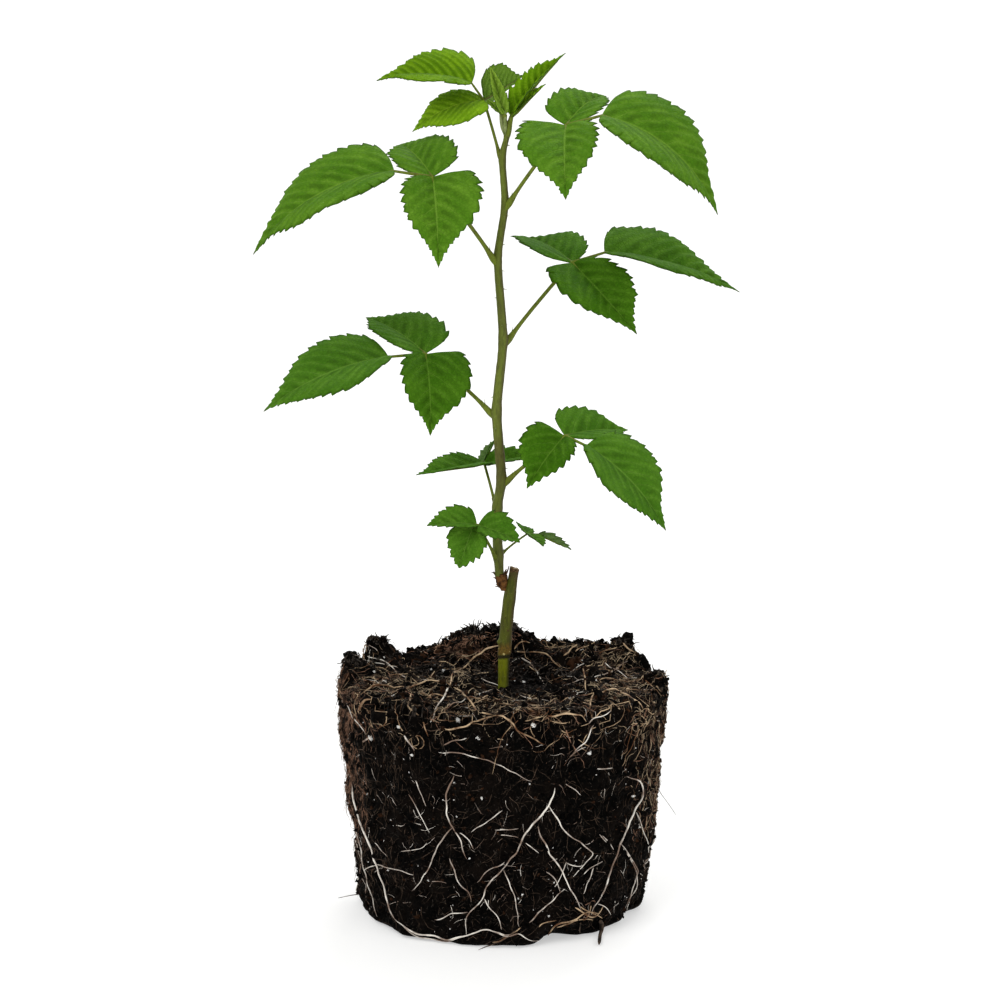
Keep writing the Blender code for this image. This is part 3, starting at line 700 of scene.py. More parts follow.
def make_new_cane(bark, pale):
    """The new cane: tapering bark, a few small prickles and the pale sheath round its bud."""
    count = 460
    foot = NEW_FOOT_Z - 0.0008
    heights = [mix(foot, NEW_TOP_Z, i / (count - 1)) for i in range(count)]
    path = []
    radii = []
    for height in heights:
        centre = new_cane_centre(max(NEW_FOOT_Z, height))
        aside = 0.0005 * (1.0 - smooth_step(NEW_FOOT_Z, NEW_FOOT_Z + 0.016, height))
        path.append(Vector((centre.x + aside, centre.y, height)))
        slim = mix(1.0, 0.62, smooth_step(0.2790, NEW_TOP_Z, height))
        wide = 1.0 + 0.30 * (1.0 - smooth_step(NEW_FOOT_Z, NEW_FOOT_Z + 0.006, height))
        radii.append(new_cane_radius(max(NEW_FOOT_Z, height)) * slim * wide)
    cane = tube_along("new_cane_bark", path, radii, 24, 0.05)
    luck = random.Random(8)
    spikes = []
    for number in range(26):
        height = luck.uniform(0.128, 0.286)
        if min(abs(height - leaf.node) for leaf in LEAVES.values()) < 0.004:
            continue
        turn = luck.uniform(0.0, 360.0)
        out = direction(turn, luck.uniform(-20.0, 12.0))
        root = new_cane_centre(height) + direction(turn, 0.0) * new_cane_radius(height) * 0.92
        length = luck.uniform(0.0008, 0.0017)
        wide = luck.uniform(0.00018, 0.00030)
        spikes.append(([root + out * length * k / 4 for k in range(5)], [wide * (1.0 - 0.22 * k) for k in range(5)]))
    prickles = threads_mesh("prickles", spikes, 6)
    stand_for(cane, "new_cane", "new_bark", bark)
    stand_for(prickles, "new_cane", "new_bark", pale)

    top = new_cane_centre(NEW_TOP_Z)
    blades = []
    for turn, rise, length, wide in (
            (170, 83, 0.0105, 0.00072), (10, 80, 0.0060, 0.00050), (-95, 84, 0.0092, 0.00066), (80, 76, 0.0066, 0.00060)):
        root = top + Vector((0.0, 0.0, -0.0052)) + direction(turn, 0.0) * 0.00050
        out = direction(turn, rise)
        spots = [k / 12 for k in range(13)]
        points = [root + out * length * k + direction(turn, 0.0) * 0.0003 * math.sin(math.pi * k) for k in spots]
        blades.append((points, [wide * min(1.0, 0.15 + 3.2 * k) * (1.0 - k ** 4 * 0.92) for k in spots]))
    sheath = threads_mesh("bud_sheath", blades, 8)
    stand_for(sheath, "new_cane", "new_bark", pale)


# Leaves

def blade_frame(base, leaflet):
    """The matrix that puts a blade drawn along X, with its upper side to Z, at its place."""
    along = direction(leaflet.heading, leaflet.pitch)
    level = direction(leaflet.heading + 90.0, 0.0)
    up = along.cross(level)
    roll = math.radians(leaflet.roll)
    side = level * math.cos(roll) + up * math.sin(roll)
    face = up * math.cos(roll) - level * math.sin(roll)
    matrix = Matrix((along, side, face)).transposed().to_4x4()
    matrix.translation = base
    return matrix


def midrib_point(leaflet, share):
    """A point on the midrib, which curves down evenly, and the slope there."""
    slope = math.radians(leaflet.droop) * share
    if slope < 1e-4:
        return Vector((leaflet.length * share, 0.0, 0.0)), slope
    reach = leaflet.length / math.radians(leaflet.droop)
    return Vector((reach * math.sin(slope), 0.0, reach * (math.cos(slope) - 1.0))), slope


def half_width(leaflet, share, fuller):
    """Half of the blade's width: egg-shaped, widest a third of the way along, with a long thin tip."""
    share = min(1.0, max(0.0, share))
    widest = BLADE_RISE_POWER / (BLADE_RISE_POWER + BLADE_FALL_POWER)
    most = widest ** BLADE_RISE_POWER * (1.0 - widest) ** BLADE_FALL_POWER
    shape = share ** BLADE_RISE_POWER * (1.0 - share) ** BLADE_FALL_POWER / most
    drawn = TIP_DRAWN if leaflet.length > SMALL_BLADE else 0.0
    shape *= 1.0 + 0.05 * smooth_step(0.3, 0.55, share) - drawn * smooth_step(0.60, 0.92, share)
    skew = 1.0 + fuller * BLADE_SKEW * (1.0 - share) ** 0.7
    return 0.5 * leaflet.length * leaflet.width * shape * skew


def fuller_side(leaflet, end_leaflet):
    """The side of a side leaflet that looks away from the end leaflet: -1, or 1 for its left."""
    if leaflet is end_leaflet:
        return 0.0
    return -math.copysign(1.0, math.sin(math.radians(end_leaflet.heading - leaflet.heading)))


class Blade:
    """The fine form of one leaflet: its outline with uneven saw teeth, its side veins and its pleats."""

    def __init__(self, name, leaflet, full_side, pleat):
        self.leaflet = leaflet
        self.full_side = full_side
        self.pleat = pleat
        self.key = (name, leaflet.heading)
        self.spacing = mix(SMALL_TOOTH_SPACING, TOOTH_SPACING, smooth_step(0.012, 0.052, leaflet.length))
        self.teeth = max(6, round(leaflet.length / self.spacing))
        self.rows = self.teeth * TOOTH_ROWS
        self.veins = 2.2 + leaflet.length / (YOUNG_VEIN_SPACING if pleat == YOUNG_PLEAT else VEIN_SPACING)
        self.depth = YOUNG_TOOTH_DEPTH if pleat == YOUNG_PLEAT and leaflet.length < 0.030 else TOOTH_DEPTH
        self.starts = {side: self.tooth_starts(side) for side in (-1.0, 1.0)}

    def tooth_starts(self, side):
        """Where along the midrib each tooth starts: even steps along the margin, made uneven by chance."""
        parts = 160
        outline = [half_width(self.leaflet, i / parts, self.full_side * side) for i in range(parts + 1)]
        gone = [0.0]
        for i in range(parts):
            gone.append(gone[-1] + math.hypot(self.leaflet.length / parts, outline[i + 1] - outline[i]))
        steps = []
        for number in range(self.teeth):
            slimmer = mix(1.2, 0.55, (number / self.teeth) ** 1.6)
            steps.append(slimmer * mix(0.70, 1.30, chance(self.key, "step", number, side)))
        starts = [0.0]
        passed = 0.0
        for step in steps:
            passed += step / sum(steps) * gone[-1]
            i = max(1, next((i for i, reach in enumerate(gone) if reach >= passed), parts))
            starts.append(min(1.0, (i - 1 + (passed - gone[i - 1]) / (gone[i] - gone[i - 1])) / parts))
        starts[-1] = 1.0
        return starts

    def tooth(self, row, side):
        """The tooth at a row: its number and the row's number on it."""
        number = min(self.teeth - 1, row // TOOTH_ROWS)
        return number, row - number * TOOTH_ROWS

    def share_at(self, across, along):
        """How far towards the tip a point of the grid lies: the margin follows its teeth, the middle is even."""
        side = math.copysign(1.0, across)
        number, spot = self.tooth(round(along * self.rows), side)
        lean = 1.0 if spot == TOOTH_ROWS else TOOTH_LEAN * spot / TOOTH_ROWS
        starts = self.starts[side]
        margin = mix(starts[number], starts[number + 1], lean)
        return mix(along, margin, abs(across) ** 1.5)

    def vein_phase(self, share, across, side):
        """The count of side veins passed at a place: a whole number on each vein."""
        reach = half_width(self.leaflet, share, self.full_side * side) / self.leaflet.length * abs(across)
        start = share - reach * mix(VEIN_SLANT, VEIN_SLANT_OUT, abs(across))
        return start * self.veins + (VEIN_OFFSET if side > 0 else 0.0)

    def margin_out(self, row, share, side):
        """How far the tooth at a row stands out from the outline, and forward."""
        number, spot = self.tooth(row, side)
        step = (self.starts[side][number + 1] - self.starts[side][number]) * self.leaflet.length
        slope = abs(half_width(self.leaflet, share + 0.01, 0.0) - half_width(self.leaflet, share - 0.01, 0.0))
        step *= math.hypot(1.0, slope / (0.02 * self.leaflet.length))
        double = chance(self.key, "double", number, side) < 0.35
        profile = DOUBLE_TOOTH_OUT if double else TOOTH_OUT
        out = 0.0 if spot == TOOTH_ROWS else profile[spot]
        ends_vein = 0.5 + 0.5 * math.cos(2.0 * math.pi * self.vein_phase(share, 1.0, side))
        size = mix(0.55, 1.10, chance(self.key, "size", number, side)) * mix(0.85, 1.20, ends_vein)
        fade = smooth_step(0.015, 0.080, share) * min(1.0, (1.0 - share) * 9.0)
        depth = self.depth * min(step, self.spacing * 1.6) * size * fade
        return depth * (out - 0.45), depth * out * TOOTH_FORWARD / self.depth

    def point(self, across, along):
        """A point of the blade: across from -1 to 1, along from its foot to its tip, both on the grid."""
        leaflet = self.leaflet
        side = math.copysign(1.0, across)
        share = self.share_at(across, along)
        spine, slope = midrib_point(leaflet, share)
        fuller = self.full_side * side
        half = half_width(leaflet, share, fuller)
        edge = abs(across) ** 7
        tooth_out, tooth_forward = self.margin_out(round(along * self.rows), share, side)
        out = max(0.0, half * abs(across) + tooth_out * edge)
        near = side * math.cos(math.radians(leaflet.heading)) < 0.0
        fold = math.radians(leaflet.fold + (leaflet.lift * max(0.0, 1.0 - 2.7 * share) if near else 0.0))
        lift = out * math.sin(fold) + BLADE_ARCH * half * math.sin(math.pi * abs(across))
        chance_place = Vector((share * leaflet.length, across * half, chance(self.key)))
        phase = self.vein_phase(share, across, side) + 0.35 * noise.noise(chance_place * 150.0)
        swell = (0.5 - 0.5 * math.cos(2.0 * math.pi * phase)) * (1.0 + 0.8 * noise.noise(chance_place * 110.0))
        fine = noise.noise(chance_place * 420.0)
        calm = min(1.0, abs(across) * 5.0) * min(1.0, share * 8.0, (1.0 - share) * 6.0)
        lift += self.pleat * leaflet.length * (swell + 0.35 * fine) * calm * (1.0 - 0.35 * edge)
        wave = noise.noise(Vector((share * 3.6, across * 1.4 + 7.0, chance(self.key) * 40.0)))
        flat_tip = min(1.0, (1.0 - share) * 5.0)
        lift += EDGE_WAVE * leaflet.length * wave * across * across * min(1.0, share * 4.0) * flat_tip
        lift -= 0.010 * leaflet.length * edge * flat_tip
        heart = BLADE_HEART * leaflet.length * (1.0 + 0.8 * fuller) * (1.0 - share) ** 3
        forward = tooth_forward * edge - heart * abs(across) * min(1.0, 8.0 * share)
        x = spine.x + forward * math.cos(slope) + lift * math.sin(slope)
        z = spine.z - forward * math.sin(slope) + lift * math.cos(slope)
        return Vector((x, out * math.cos(fold) * side, z))


def make_blade(name, base, leaflet, full_side, pleat, top, under, rim):
    """One toothed, pleated blade with finishes of its own for its underside and its rim."""
    matrix = blade_frame(base, leaflet)
    form = Blade(name, leaflet, full_side, pleat)
    columns = 24 if leaflet.length > 0.03 else 16
    blade = formed_grid(name, columns, form.rows, lambda across, along: matrix @ form.point(across * 2.0 - 1.0, along))
    corners = blade.data.uv_layers.active.data
    shares = blade.data.attributes.new("share", "FLOAT", "POINT").data
    for face in blade.data.polygons:
        middle = sum(corners[k].uv.x for k in face.loop_indices) / len(face.loop_indices)
        side = math.copysign(1.0, middle - 0.5)
        for k in face.loop_indices:
            across = corners[k].uv.x * 2.0 - 1.0
            share = form.share_at(across, corners[k].uv.y)
            shares[blade.data.loops[k].vertex_index].value = share
            corners[k].uv.y = form.vein_phase(share, across, side) + 4.0
    for material in (top, under, rim):
        blade.data.materials.append(material)
    middle = blade.data.polygons[len(blade.data.polygons) // 2]
    if (matrix.to_3x3() @ Vector((0, 0, 1))).dot(middle.normal) < 0:
        blade.data.flip_normals()
    solid = blade.modifiers.new("Thickness", "SOLIDIFY")
    solid.thickness = BLADE_THICKNESS
    solid.offset = 0.0
    solid.material_offset = 1
    solid.material_offset_rim = 2
    choose(blade)
    bpy.ops.object.modifier_apply(modifier=solid.name)
    return blade


def bezier(start, start_handle, end_handle, end, share):
    """A point on a curve with a handle at each end."""
    rest = 1.0 - share
    return (start * rest ** 3 + start_handle * 3.0 * rest ** 2 * share
            + end_handle * 3.0 * rest * share ** 2 + end * share ** 3)


def rib_path(base, leaflet, count):
    """Points along the underside of a blade's midrib, from its foot nearly to its tip."""
    matrix = blade_frame(base, leaflet)
    points = []
    for i in range(1, count + 1):
        share = 0.86 * i / count
        spine, slope = midrib_point(leaflet, share)
        sunk = mix(0.00050, 0.00016, share) * min(1.0, i / 2.0)
        points.append(matrix @ (spine + Vector((-math.sin(slope), 0.0, -math.cos(slope))) * sunk))
    return points


def leaf_foot(leaf):
    if leaf.node < NEW_TOP_Z:
        return direction(leaf.petiole.heading, 0.0)
    return Vector((0.0, 0.0, 1.0))


def make_leaf(name, leaf, pleat, top, front_top, under, rim, stalk_finish, slot):
    """One leaf: its stalk grown on from inside the cane, its two stipules and its blades."""
    centre = new_cane_centre(leaf.node)
    foot = leaf_foot(leaf)
    joint = centre + direction(leaf.petiole.heading, leaf.petiole.rise) * leaf.petiole.length
    end = joint + direction(leaf.rachis.heading, leaf.rachis.rise) * leaf.rachis.length
    slim = 0.75 if leaf.petiole.length < 0.025 else 1.0
    if leaf.petiole.length < 0.016:
        slim = 0.55 if leaf.node < YOUNG_STALK_Z else 1.10
    chord = direction(leaf.petiole.heading, leaf.petiole.rise)
    second_handle = joint - chord * leaf.petiole.length * 0.4
    low = new_cane_centre(max(NEW_FOOT_Z, leaf.node - 0.0039 * slim))
    if leaf.node < NEW_TOP_Z:
        start = low + foot * new_cane_radius(leaf.node) * 0.15
        first_handle = start + Vector((0.0, 0.0, 0.0036 * slim)) + foot * 0.0006
    else:
        start = centre - Vector((0.0, 0.0, 0.001))
        first_handle = centre
    path = []
    radii = []
    steps = 44
    for i in range(steps + 1):
        path.append(bezier(start, first_handle, second_handle, joint, (i / steps) ** 1.25))
        gone = (path[-1] - path[0]).length / slim
        grown = smooth_step(0.0, STALK_FLARE_FROM, gone)
        flare = (STALK_BASE_RADIUS - STALK_RADIUS) * grown
        flare *= math.exp(-(max(0.0, gone - STALK_FLARE_FROM) / STALK_FLARE_LENGTH) ** 2)
        radii.append(slim * (mix(STALK_RADIUS, 0.85 * STALK_RADIUS, i / steps) * mix(0.7, 1.0, grown) + flare))
    stalks = []
    if leaf.petiole.length > 0.01:
        axil = next(i for i in range(steps) if (path[i] - path[0]).length > STALK_FLARE_FROM * 1.5 * slim)
        for turn in (-50.0, 50.0):
            root = path[axil] + direction(leaf.petiole.heading + turn * 1.6, 20.0) * radii[axil] * 0.8
            out = direction(leaf.petiole.heading + turn, 68.0)
            length = mix(0.0018, 0.0030, chance(name, turn)) * slim
            thread = [root + out * length * i / 6 for i in range(7)]
            stalks.append(tube_along("stipule", thread, [0.00022 * (1.0 - 0.85 * i / 6) for i in range(7)], 6))
    if leaf.rachis.length > 0.006:
        path += [joint.lerp(end, share) for share in (0.2, 0.4, 0.6, 0.8)]
    path.append(end)
    end_leaflet = leaf.leaflets[0]
    path += rib_path(end, end_leaflet, 14)
    rest = len(path) - len(radii)
    radii += [slim * mix(0.80 * STALK_RADIUS, 0.00010, (i + 1) / rest) for i in range(rest)]
    stalks.append(tube_along(name + "_stalk", path, radii, 10, 0.04))
    blades = [make_blade(name, end, end_leaflet, 0.0, pleat, top, under, rim)]
    for leaflet in leaf.leaflets[1:]:
        base = joint + direction(leaflet.heading, leaflet.pitch) * PETIOLULE_LENGTH
        path = [joint, base] + rib_path(base, leaflet, 12)
        radii = [slim * mix(0.75 * STALK_RADIUS, 0.00010, i / (len(path) - 1)) for i in range(len(path))]
        stalks.append(tube_along(name + "_rib", path, radii, 8))
        # leaflets that head to the front may take a copy of the top finish with painted light or painted shade
        skin = front_top if math.sin(math.radians(leaflet.heading)) < 0.0 else top
        full_side = fuller_side(leaflet, end_leaflet)
        blades.append(make_blade(name, base, leaflet, full_side, pleat, skin, under, rim))
    stalk = join(name + "_stalks", stalks)
    blade = join(name + "_blades", blades)
    stand_for(stalk, name, slot, stalk_finish)
    stand_for(blade, name, slot)


# Root ball

def lumps(point, size):
    """Soft noise from -1 to 1 with lumps of about the given size."""
    return noise.fractal(point / size, 0.6, 2.0, 3)


def ball_radius(height):
    """The radius of the ball's side at a height."""
    share = max(0.0, height / BALL_RIM_HEIGHT) ** BALL_SIDE_POWER
    return mix(BALL_BASE_RADIUS, BALL_RIM_RADIUS, share)


def side_change(angle, height):
    """How far the swells and bites move the side out at an angle and a height."""
    change = 0.0
    for swell in SWELLS:
        turn = (math.degrees(angle) - swell.heading + 180.0) % 360.0 - 180.0
        across = turn / swell.spread
        up = (height - swell.height) / swell.rise
        change += swell.out * math.exp(-across ** 2 - up ** 2)
    return change


def ball_top(x, y):
    """The height of the ball's top at a place."""
    away = math.hypot(x, y)
    height = BALL_RIM_HEIGHT
    for heap in HEAPS:
        gone = ((x - heap.x) ** 2 + (y - heap.y) ** 2) / heap.spread ** 2
        height += heap.height * math.exp(-gone)
    height += BALL_ROUGHNESS * 0.9 * lumps(Vector((x, y, 0.31)), BALL_LUMP_SIZE * 0.7)
    height -= 0.0015 * math.exp(-(away / 0.022) ** 2)
    return mix(HOLLOW_HEIGHT, height, smooth_step(HOLLOW_RADIUS, HOLLOW_RADIUS * 3.2, away))


def ball_place(turn, share):
    """A point of the ball's skin: from the middle of its underside up its side to the middle of its top."""
    angle = 2.0 * math.pi * turn
    out = Vector((math.cos(angle), math.sin(angle), 0.0))
    if share < 0.06:
        rough = BALL_ROUGHNESS * lumps(out * BALL_BASE_RADIUS, BALL_LUMP_SIZE) + side_change(angle, 0.0)
        return out * (BALL_BASE_RADIUS - BALL_EDGE_ROUND + rough) * (share / 0.06)
    if share < 0.58:
        height = mix(0.0, BALL_RIM_HEIGHT - BALL_EDGE_ROUND * 0.5, (share - 0.06) / 0.52)
        place = out * ball_radius(height) + Vector((0.0, 0.0, height))
        rough = BALL_ROUGHNESS * lumps(place, BALL_LUMP_SIZE) + side_change(angle, height)
        rough -= BALL_EDGE_ROUND * max(0.0, 1.0 - height / BALL_EDGE_ROUND) ** 2
        place += out * rough
        normal = out
    else:
        level = ((share - 0.58) / 0.42) ** 0.9
        place = out * mix(BALL_RIM_RADIUS - 0.0006, 0.0, level)
        place.z = ball_top(place.x, place.y)
        normal = Vector((0.0, 0.0, 1.0))
        clods = 0.0070 * abs(noise.noise(place * 112.0)) + 0.0030 * abs(noise.noise(place * 290.0 + Vector((7.0, 3.0, 1.0))))
        pits = smooth_step(0.10, 0.42, noise.noise(place * 64.0 + Vector((5.0, 2.0, 9.0))))
        place.z += (clods - 0.0024 - 0.0042 * pits) * smooth_step(0.005, 0.013, math.hypot(place.x, place.y))
    crumbly = noise.fractal(place * 300.0, 0.8, 2.2, 3) - 0.9 * abs(noise.noise(place * 170.0))
    return place + normal * 0.0010 * crumbly * smooth_step(0.0, 0.004, place.z)


Patch = namedtuple("Patch", "x y wide tall")


class Skin:
    """The ball's surface, to lay things on."""

    def __init__(self, ball):
        points = [vertex.co.copy() for vertex in ball.data.vertices]
        self.tree = BVHTree.FromPolygons(points, [tuple(face.vertices) for face in ball.data.polygons])

    def side(self, heading, height):
        """The point of the side at a heading and a height, and the way out there."""
        out = direction(heading, 0.0)
        hit = self.tree.ray_cast(out * 0.12 + Vector((0.0, 0.0, height)), -out)[0]
        if hit is None:
            hit = out * ball_radius(height) + Vector((0.0, 0.0, height))
        return hit, out

    def top(self, x, y):
        """The point of the top above a place, and the way up."""
        hit = self.tree.ray_cast(Vector((x, y, 0.2)), Vector((0.0, 0.0, -1.0)))[0]
        if hit is None:
            hit = Vector((x, y, BALL_RIM_HEIGHT))
        return hit, Vector((0.0, 0.0, 1.0))

    def ray(self, x, y):
        """The way from the camera through a pixel of the photo."""
        tilt = math.radians(CAMERA_TILT)
        focal = PHOTO_SIZE * CAMERA_LENS / CAMERA_SENSOR
        up = Vector((0.0, math.cos(tilt), math.sin(tilt)))
        way = Vector((0.0, math.sin(tilt), -math.cos(tilt)))
        way += Vector(((x - PHOTO_SIZE / 2) / focal, 0.0, 0.0)) - up * ((y - PHOTO_SIZE / 2) / focal)
        return way.normalized()

    def seen(self, x, y):
        """The point of the skin that shows at a pixel of the photo."""
        return self.tree.ray_cast(Vector(CAMERA_PLACE), self.ray(x, y))[:2]

    def chance_place(self, luck, zone, turns=(-180.0, 180.0)):
        """A chance place in a zone: patches of the photo, the top, the rim, or between two heights of the side."""
        if isinstance(zone[0], Patch):
            for number in range(20):
                patch = luck.choice(zone)
                hit, normal = self.seen(luck.gauss(patch.x, patch.wide), luck.gauss(patch.y, patch.tall))
                if hit is not None and hit.y < 0.060:
                    return hit, normal
        heading = luck.uniform(*turns) if turns[1] - turns[0] > 300.0 else luck.triangular(*turns)
        if zone == "top":
            way = direction(heading, 0.0) * BALL_RIM_RADIUS * math.sqrt(luck.uniform(0.015, 0.97))
            return self.top(way.x, way.y)
        if zone == "rim" and luck.random() < 0.6:
            way = direction(heading, 0.0) * BALL_RIM_RADIUS * luck.uniform(0.62, 0.98)
            return self.top(way.x, way.y)
        low, high = (0.078, 0.086) if zone == "rim" or isinstance(zone[0], Patch) else zone
        return self.side(heading, luck.uniform(low, high))

    def settle(self, point, proud):
        """The nearest point of the skin to a point, raised a little."""
        near, normal = self.tree.find_nearest(point)[:2]
        return near + normal * proud

    def bridge(self, point, proud):
        """Like settle, but over the hollows of the top and not down in them."""
        settled = self.settle(point, proud)
        if settled.z > BALL_RIM_HEIGHT - 0.006 and math.hypot(settled.x, settled.y) < BALL_RIM_RADIUS - 0.002:
            settled.z = max(settled.z, ball_top(settled.x, settled.y) - 0.0002 + proud)
        return settled


def make_crumbs(name, skin, finish, count, zone, small, large, faces_level, seed):
    """Crumbs of mix partly sunk in the skin."""
    bpy.ops.object.select_all(action="DESELECT")
    bpy.ops.mesh.primitive_ico_sphere_add(subdivisions=faces_level, radius=1.0)
    pattern = bpy.context.object
    shape = [vertex.co.copy() for vertex in pattern.data.vertices]
    faces = [tuple(face.vertices) for face in pattern.data.polygons]
    bpy.data.objects.remove(pattern, do_unlink=True)
    luck = random.Random(seed)
    points = []
    all_faces = []
    for number in range(count):
        place, out = skin.chance_place(luck, zone)
        size = mix(small, large, luck.random() ** 2.4)
        size = min(size, max(0.0003, place.z * 0.6))
        axis = Vector((luck.gauss(0, 1), luck.gauss(0, 1), luck.gauss(0, 1))).normalized()
        turn = Matrix.Rotation(luck.uniform(0.0, 6.28), 3, axis)
        stretch = Vector((luck.uniform(0.6, 1.5), luck.uniform(0.5, 1.1), luck.uniform(0.35, 0.9)))
        centre = place - out * size * luck.uniform(-0.2, 0.5)
        first = len(points)
        offset = Vector((luck.uniform(0.0, 90.0), 0.0, 0.0))
        for corner in shape:
            lump = 1.0 + 0.70 * noise.noise(corner * 1.7 + offset) + 0.65 * noise.noise(corner * 4.2 + offset)
            points.append(centre + turn @ (corner * stretch * size * lump))
        all_faces += [tuple(first + k for k in face) for face in faces]
    crumbs = mesh_object(name, points, all_faces)
    return stand_for(crumbs, "root_ball", "potting_mix", finish)


def threads_mesh(name, threads, sides):
    """Many thin threads as one mesh: each is a list of points and a list of radii."""
    points = []
    faces = []
    for path, radii in threads:
        first = len(points)
        across = None
        for i, point in enumerate(path):
            along = path[min(len(path) - 1, i + 1)] - path[max(0, i - 1)]
            along = along.normalized() if along.length > 1e-9 else Vector((0.0, 0.0, 1.0))
            across = along.orthogonal() if across is None else across - along * across.dot(along)
            if across.length < 1e-6:
                across = along.orthogonal()
            across.normalize()
            other = along.cross(across)
            for k in range(sides):
                angle = 2.0 * math.pi * k / sides
                points.append(point + (across * math.cos(angle) + other * math.sin(angle)) * radii[i])
        for i in range(len(path) - 1):
            low = first + i * sides
            for k in range(sides):
                j = (k + 1) % sides
                faces.append((low + k, low + j, low + sides + j, low + sides + k))
        faces.append(tuple(first + k for k in reversed(range(sides))))
        last = first + (len(path) - 1) * sides
        faces.append(tuple(last + k for k in range(sides)))
    return mesh_object(name, points, faces)


Fibres = namedtuple("Fibres", "name finish count zone length thick upright curl lift segments seed turns",
                    defaults=((-180.0, 180.0),))


def bare(place):
    """True on the top where no fibres lie: in patches, round the cane and more so towards the back."""
    if place.z < 0.080:
        return False
    if math.hypot(place.x, place.y) < 0.017 and place.y > -0.007:
        return True
    return noise.noise(Vector((place.x, place.y, 0.05)) * 75.0) + 2.0 * place.y > 0.06


def make_fibres(skin, kind):
    """Fibres of one kind that lie on the skin or stand up from it."""
    luck = random.Random(kind.seed)
    threads = []
    for number in range(kind.count):
        place, out = skin.chance_place(luck, kind.zone, kind.turns)
        if kind.segments > 3 and not isinstance(kind.zone[0], Patch) and bare(place):
            continue
        along = Vector((luck.gauss(0, 1), luck.gauss(0, 1), luck.gauss(0, 1) * kind.upright))
        along = (along - out * along.dot(out)).normalized()
        length = kind.length * mix(0.35, 1.0, luck.random())
        radius = kind.thick * mix(0.5, 1.0, luck.random())
        curl = luck.gauss(0.0, kind.curl)
        rise = kind.lift * luck.random() ** 2 * length
        path = []
        point = place.copy()
        for i in range(kind.segments + 1):
            share = i / kind.segments
            path.append(skin.bridge(point, radius * 0.5 + rise * share ** 1.5))
            along = (Matrix.Rotation(curl + luck.gauss(0.0, 0.18), 3, out) @ along).normalized()
            point = point + along * (length / kind.segments)
        if min(spot.z for spot in path) < 0.0012:
            continue
        if math.hypot(path[0].x, path[0].y) < 0.004:
            continue
        radii = [radius * mix(1.0, 0.3, i / kind.segments) for i in range(kind.segments + 1)]
        threads.append((path, radii))
    fibres = threads_mesh(kind.name, threads, 3)
    return stand_for(fibres, "root_ball", "potting_mix", kind.finish)


